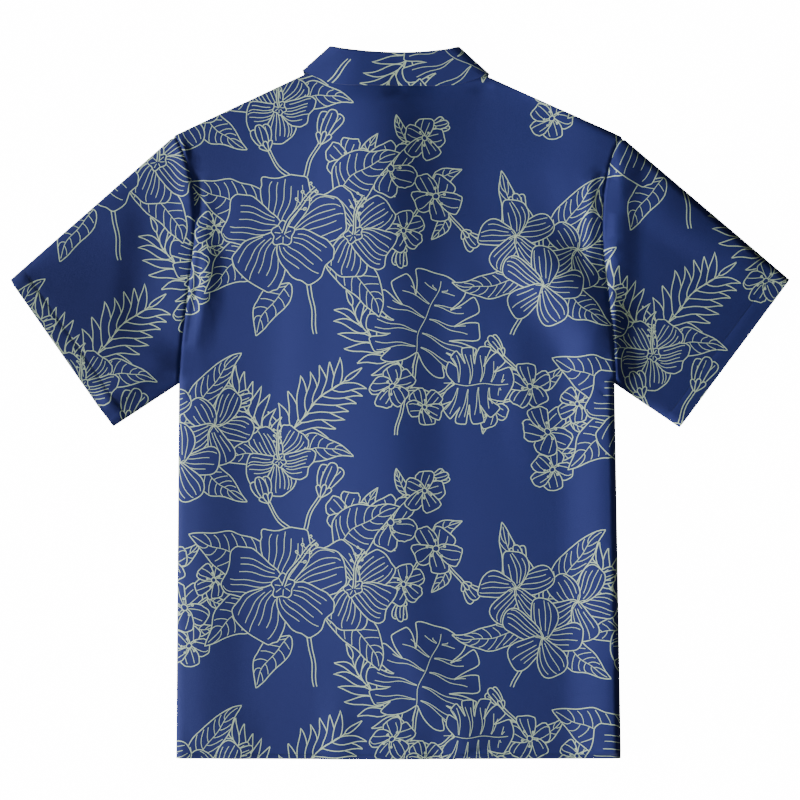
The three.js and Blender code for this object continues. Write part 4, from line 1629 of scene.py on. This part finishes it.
class Band:
    """A strip of cloth round the neck, laid over rows of points. Flat, it runs along and up."""

    def __init__(self, grid):
        self.grid = grid
        middle = grid[:, grid.shape[1] // 2]
        self.along = np.r_[0, np.cumsum(np.linalg.norm(np.diff(middle, axis=0), axis=1))]
        steps = np.linalg.norm(np.diff(grid, axis=1), axis=2)
        self.height = steps.sum(1)
        self.shares = np.r_[0, np.cumsum(steps.mean(0)) / steps.mean(0).sum()]

    def lay(self, points):
        columns, rows = self.grid.shape[:2]
        c = np.interp(points[:, 0], self.along, np.arange(columns))
        up = points[:, 1] / np.interp(points[:, 0], self.along, self.height)
        r = np.interp(up, self.shares, np.arange(rows))
        c0 = np.minimum(c.astype(int), columns - 2)
        r0 = np.minimum(r.astype(int), rows - 2)
        fc = (c - c0)[:, None]
        fr = (r - r0)[:, None]
        g = self.grid
        low = g[c0, r0] * (1 - fc) + g[c0 + 1, r0] * fc
        high = g[c0, r0 + 1] * (1 - fc) + g[c0 + 1, r0 + 1] * fc
        return low * (1 - fr) + high * fr

    def outline(self):
        s = np.linspace(0, self.along[-1], int(self.along[-1] / 3))
        top = np.interp(s, self.along, self.height)
        right = pairs(self.along[-1], np.linspace(0, top[-1], 14))
        left = pairs(0, np.linspace(top[0], 0, 14))
        return joined(pairs(s, 0), right, pairs(s, top)[::-1], left)

    def guides(self, shares):
        s = np.linspace(2, self.along[-1] - 2, int(self.along[-1] / 4))
        top = np.interp(s, self.along, self.height)
        return [pairs(s, top * share) for share in shares]


def make_collar():
    cloth = bpy.context.scene.shirt_sizes.collar_cloth
    ribs = collar_ribs()
    stand_rows = np.linspace(0, 0.975, 9)
    grid = [[lerp(low + up * NECK_SEAM_GAP, high, t) for t in stand_rows] for low, high, _, up, _ in ribs]
    stand = Band(np.array(grid))
    guides = stand.guides((0.03, 0.5, 0.97))
    outline = stand.outline()
    piece = cloth_piece("collar_stand_cloth", "collar_stand", outline, stand.lay, guides, cloth)
    declare_cut(outline)
    angles = np.radians(np.linspace(22, 170, 14))
    grid = []
    for _, high, outer, up, out in ribs:
        rolled = [high + COLLAR_ROLL * (up * math.sin(a) + out * (1 - math.cos(a))) for a in angles]
        start = high + out * 2 * COLLAR_ROLL
        fallen = [lerp(start, outer, t) for t in np.linspace(0.1, 1, 18)]
        grid.append(rolled + fallen)
    fall = Band(np.array(grid))
    guides = fall.guides((*np.arange(0.012, 0.14, 0.012), 0.3, 0.6, 0.97, 0.99))
    outline = fall.outline()
    piece = cloth_piece("collar_fall_cloth", "collar_fall", outline, fall.lay, guides, cloth, face_down=True)
    declare_cut(outline, ())


# Buttons

HOLE_REACH = 1.6
HOLE_RADIUS = 0.85
EDGE_ROUND = 0.32
# The dished face: three steps in, each as shares of the radius inwards and of the thickness down.
DISH = ((0.27, 0), (0.1, 0.18), (0.3, 0.02))
THREAD_APART = 0.3
# Heights and half lengths of the bars across a button, and where its shank starts and ends.
BAR_LEVEL = 0.62
BAR_REACH = 1.9
SHANK_LEVELS = (0.5, 4.6)
SHANK_SHARE = 0.8
SHANK_REACH = 1.3


def make_buttons():
    """A four-hole button with a dished face at each place down the front, and its thread."""
    low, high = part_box(BUTTONS[0])
    radius, thick = (high[0] - low[0]) / 2, high[2] - low[2]
    for index, node in enumerate(BUTTONS):
        x, y, z = (value * MM for value in middle_of(node))
        bpy.ops.object.select_all(action="DESELECT")
        bpy.ops.mesh.primitive_cylinder_add(vertices=48, radius=radius, depth=thick, location=(x, y, z))
        button = bpy.context.object
        button.name = f"shirt_button_{index + 1}"
        bpy.ops.object.mode_set(mode="EDIT")
        bpy.ops.mesh.select_all(action="DESELECT")
        edit = bmesh.from_edit_mesh(button.data)
        for face in edit.faces:
            face.select = face.normal.z < -0.9
        bmesh.update_edit_mesh(button.data)
        for inwards, down in DISH:
            bpy.ops.mesh.inset(thickness=radius * inwards, depth=-thick * down)
        bpy.ops.object.mode_set(mode="OBJECT")
        bpy.ops.object.transform_apply(location=True, rotation=True, scale=True)
        reach = HOLE_REACH * MM
        for i, j in ((-1, -1), (-1, 1), (1, -1), (1, 1)):
            bpy.ops.object.select_all(action="DESELECT")
            place = (x + i * reach, y + j * reach, z)
            bpy.ops.mesh.primitive_cylinder_add(
                vertices=20, radius=HOLE_RADIUS * MM, depth=thick * 2, location=place
            )
            drill = bpy.context.object
            only(button)
            hole = button.modifiers.new("hole", "BOOLEAN")
            hole.operation = "DIFFERENCE"
            hole.solver = "EXACT"
            hole.object = drill
            bpy.ops.object.modifier_apply(modifier=hole.name)
            bpy.data.objects.remove(drill)
        only(button)
        edge = button.modifiers.new("edge", "BEVEL")
        edge.width = EDGE_ROUND * MM
        edge.segments = 3
        edge.angle_limit = math.radians(35)
        bpy.ops.object.modifier_apply(modifier=edge.name)
        bpy.ops.object.shade_smooth_by_angle(angle=math.radians(40))
        button.data.materials.clear()
        button.data.materials.append(button_shell())
        finish_piece(button, [node])
        make_button_thread(index, x / MM, y / MM)


def make_button_thread(index, x, y):
    """Two bars of thread across the holes and their shank up to the cloth."""
    bars = []

    def add(start, end, facing):
        bars.append(bar(np.array([start, end], float), np.array(facing, float), THREAD_WIDTH, THREAD_DEPTH))

    columns = [i * HOLE_REACH + offset for i in (-1, 1) for offset in (-THREAD_APART, THREAD_APART)]
    for across in columns:
        add((x + across, y - BAR_REACH, BAR_LEVEL), (x + across, y + BAR_REACH, BAR_LEVEL), (0, 0, -1))
    for across in columns:
        for j in (-1, 1):
            start = (x + across, y + j * HOLE_REACH, SHANK_LEVELS[0])
            end = (x + across * SHANK_SHARE, y + j * SHANK_REACH, SHANK_LEVELS[1])
            add(start, end, (1, 0, 0))
    thread_piece(f"button_thread_{index + 1}", bars)


# Stage

CAMERA_LENS = 100
CAMERA_SENSOR = 36
CAMERA_OVER = (-0.0002, 0.0028)
FLOOR_SIZE = 12
FLOOR_LEVEL = -0.0002


def make_stage():
    colours = bpy.context.scene.shirt_colours
    stage = bpy.context.scene.shirt_stage
    bpy.ops.object.select_all(action="DESELECT")
    camera_data = bpy.data.cameras.new("camera")
    camera_data.lens = CAMERA_LENS
    camera_data.sensor_width = CAMERA_SENSOR
    camera = bpy.data.objects.new("camera", camera_data)
    camera.location = (*CAMERA_OVER, stage.camera_height)
    bpy.context.scene.collection.objects.link(camera)
    bpy.context.scene.camera = camera
    bpy.ops.mesh.primitive_plane_add(size=FLOOR_SIZE, location=(0, 0, FLOOR_LEVEL))
    floor = bpy.context.object
    floor.name = "floor"
    finish = Finish("pale floor")
    at = finish.node("ShaderNodeTexCoord", {}, output=3)
    cloud = finish.noise(at, 3.0)
    tone = finish.blend(cloud, opaque(colours.floor, 0.99), opaque(colours.floor, 1.0))
    finish.set(Base_Color=tone, Roughness=0.9)
    finish.set(Emission_Color=tone, Emission_Strength=stage.floor_glow)
    floor.data.materials.append(finish.material)
    floor.visible_diffuse = False
    floor.visible_glossy = False
    floor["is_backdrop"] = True
    lamp(stage.key_angle, stage.key_rise, stage.key_power, size=(4.2, 4.2), distance=14.0, spread=60)
    lamp(-90, 87, stage.top_power, size=(0.22, 0.8), distance=2.2, spread=18)
    world = bpy.data.worlds.new("studio")
    bpy.context.scene.world = world
    world.use_nodes = True
    background = world.node_tree.nodes["Background"]
    background.inputs["Color"].default_value = (1, 1, 1, 1)
    background.inputs["Strength"].default_value = stage.sky_glow


def lamp(angle, rise, power, size, distance, spread):
    """A soft light that faces the shirt from an angle in degrees round it and above it."""
    a, e = math.radians(angle), math.radians(rise)
    way = Vector((math.cos(a) * math.cos(e), math.sin(a) * math.cos(e), math.sin(e)))
    data = bpy.data.lights.new("soft light", "AREA")
    data.energy = power
    data.shape = "RECTANGLE"
    data.size, data.size_y = size
    data.spread = math.radians(spread)
    light = bpy.data.objects.new("soft light", data)
    light.location = way * distance
    light.rotation_mode = "QUATERNION"
    light.rotation_quaternion = way.to_track_quat("Z", "Y")
    bpy.context.scene.collection.objects.link(light)


# What a user can change, and the operators


def size(name, text, default):
    return FloatProperty(name=name, description=text, default=default, unit="LENGTH", precision=5)


def number(name, text, default):
    return FloatProperty(name=name, description=text, default=default)


def colour(name, text, default):
    return FloatVectorProperty(name=name, description=text, default=default, subtype="COLOR", min=0, max=1)


class ShirtSizes(bpy.types.PropertyGroup):
    cloth: size("Cloth", "Thickness of the cloth", 0.0009)
    collar_cloth: size("Collar cloth", "Thickness of the collar, with its lining", 0.0013)
    line_width: size("Line width", "Width of the outlines in the print", 0.00105)
    repeat_across: size("Repeat across", "Width of one repeat of the print", 0.392)
    repeat_up: size("Repeat up", "Height of one repeat of the print", 0.380)
    print_seed: IntProperty(name="Print seed", description="Changes the bends of the lines", default=11)


class ShirtColours(bpy.types.PropertyGroup):
    ground: colour("Ground", "Blue of the cloth", (0.0205, 0.0305, 0.168))
    line: colour("Line", "Pale green of the drawn lines", (0.62, 0.79, 0.56))
    inside: colour("Inside", "Inner side of the cloth", (0.06, 0.105, 0.27))
    button: colour("Button", "Colour of the buttons", (0.018, 0.035, 0.12))
    thread: colour("Thread", "Colour of the stitching", (0.014, 0.03, 0.11))
    floor: colour("Floor", "Colour of the floor", (0.95, 0.95, 0.95))


class ShirtStage(bpy.types.PropertyGroup):
    camera_height: size("Camera height", "Height of the camera over the floor", 2.411)
    key_angle: number("Key angle", "Angle of the main light round the shirt", 196)
    key_rise: number("Key rise", "Angle of the main light over the floor", 18)
    key_power: number("Key power", "Power of the main light in watts", 440)
    top_power: number("Top power", "Power of the light over the body in watts", 0.42)
    sky_glow: number("Sky glow", "Strength of the light from all round", 0.06)
    floor_glow: number("Floor glow", "Light that the floor gives off", 16.0)


class SHIRT_OT_stage(bpy.types.Operator):
    """Set the camera, the lights and the floor"""

    bl_idname = "shirt.stage"
    bl_label = "Stage"

    def execute(self, context):
        make_stage()
        return {"FINISHED"}


class SHIRT_OT_back(bpy.types.Operator):
    """Cut, print and lay the back, and stitch its hem"""

    bl_idname = "shirt.back"
    bl_label = "Back"

    def execute(self, context):
        make_back()
        return {"FINISHED"}


class SHIRT_OT_fronts(bpy.types.Operator):
    """Cut, print and lay the two fronts, with their stitching and buttonholes"""

    bl_idname = "shirt.fronts"
    bl_label = "Fronts"

    def execute(self, context):
        make_front("left")
        make_front("right")
        return {"FINISHED"}


class SHIRT_OT_sleeves(bpy.types.Operator):
    """Cut, print and fold the two sleeves, and stitch their cuffs"""

    bl_idname = "shirt.sleeves"
    bl_label = "Sleeves"

    def execute(self, context):
        make_sleeve("left")
        make_sleeve("right")
        return {"FINISHED"}


class SHIRT_OT_collar(bpy.types.Operator):
    """Cut, print and fold the collar's stand and fall"""

    bl_idname = "shirt.collar"
    bl_label = "Collar"

    def execute(self, context):
        make_collar()
        return {"FINISHED"}


class SHIRT_OT_buttons(bpy.types.Operator):
    """Make the buttons and the thread that holds them"""

    bl_idname = "shirt.buttons"
    bl_label = "Buttons"

    def execute(self, context):
        make_buttons()
        return {"FINISHED"}


class SHIRT_PT_panel(bpy.types.Panel):
    bl_label = "Shirt"
    bl_idname = "SHIRT_PT_panel"
    bl_space_type = "VIEW_3D"
    bl_region_type = "UI"
    bl_category = "Shirt"

    def draw(self, context):
        for group in (context.scene.shirt_sizes, context.scene.shirt_colours, context.scene.shirt_stage):
            for name in group.__annotations__:
                self.layout.prop(group, name)
        for operator in OPERATORS:
            self.layout.operator(operator.bl_idname)


OPERATORS = (
    SHIRT_OT_stage,
    SHIRT_OT_back,
    SHIRT_OT_fronts,
    SHIRT_OT_sleeves,
    SHIRT_OT_collar,
    SHIRT_OT_buttons,
)
CLASSES = (ShirtSizes, ShirtColours, ShirtStage, *OPERATORS, SHIRT_PT_panel)


def register():
    for each in CLASSES:
        bpy.utils.register_class(each)
    bpy.types.Scene.shirt_sizes = PointerProperty(type=ShirtSizes)
    bpy.types.Scene.shirt_colours = PointerProperty(type=ShirtColours)
    bpy.types.Scene.shirt_stage = PointerProperty(type=ShirtStage)


def unregister():
    del bpy.types.Scene.shirt_stage
    del bpy.types.Scene.shirt_colours
    del bpy.types.Scene.shirt_sizes
    for each in reversed(CLASSES):
        bpy.utils.unregister_class(each)


def main():
    register()
    bpy.ops.shirt.stage()
    bpy.ops.shirt.back()
    bpy.ops.shirt.fronts()
    bpy.ops.shirt.sleeves()
    bpy.ops.shirt.collar()
    bpy.ops.shirt.buttons()
    boxes = {"cad": CAD_BOX, "visual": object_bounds()}
    {key: [list(corner) for corner in box] for key, box in boxes.items()}


if __name__ == "__main__":
    main()
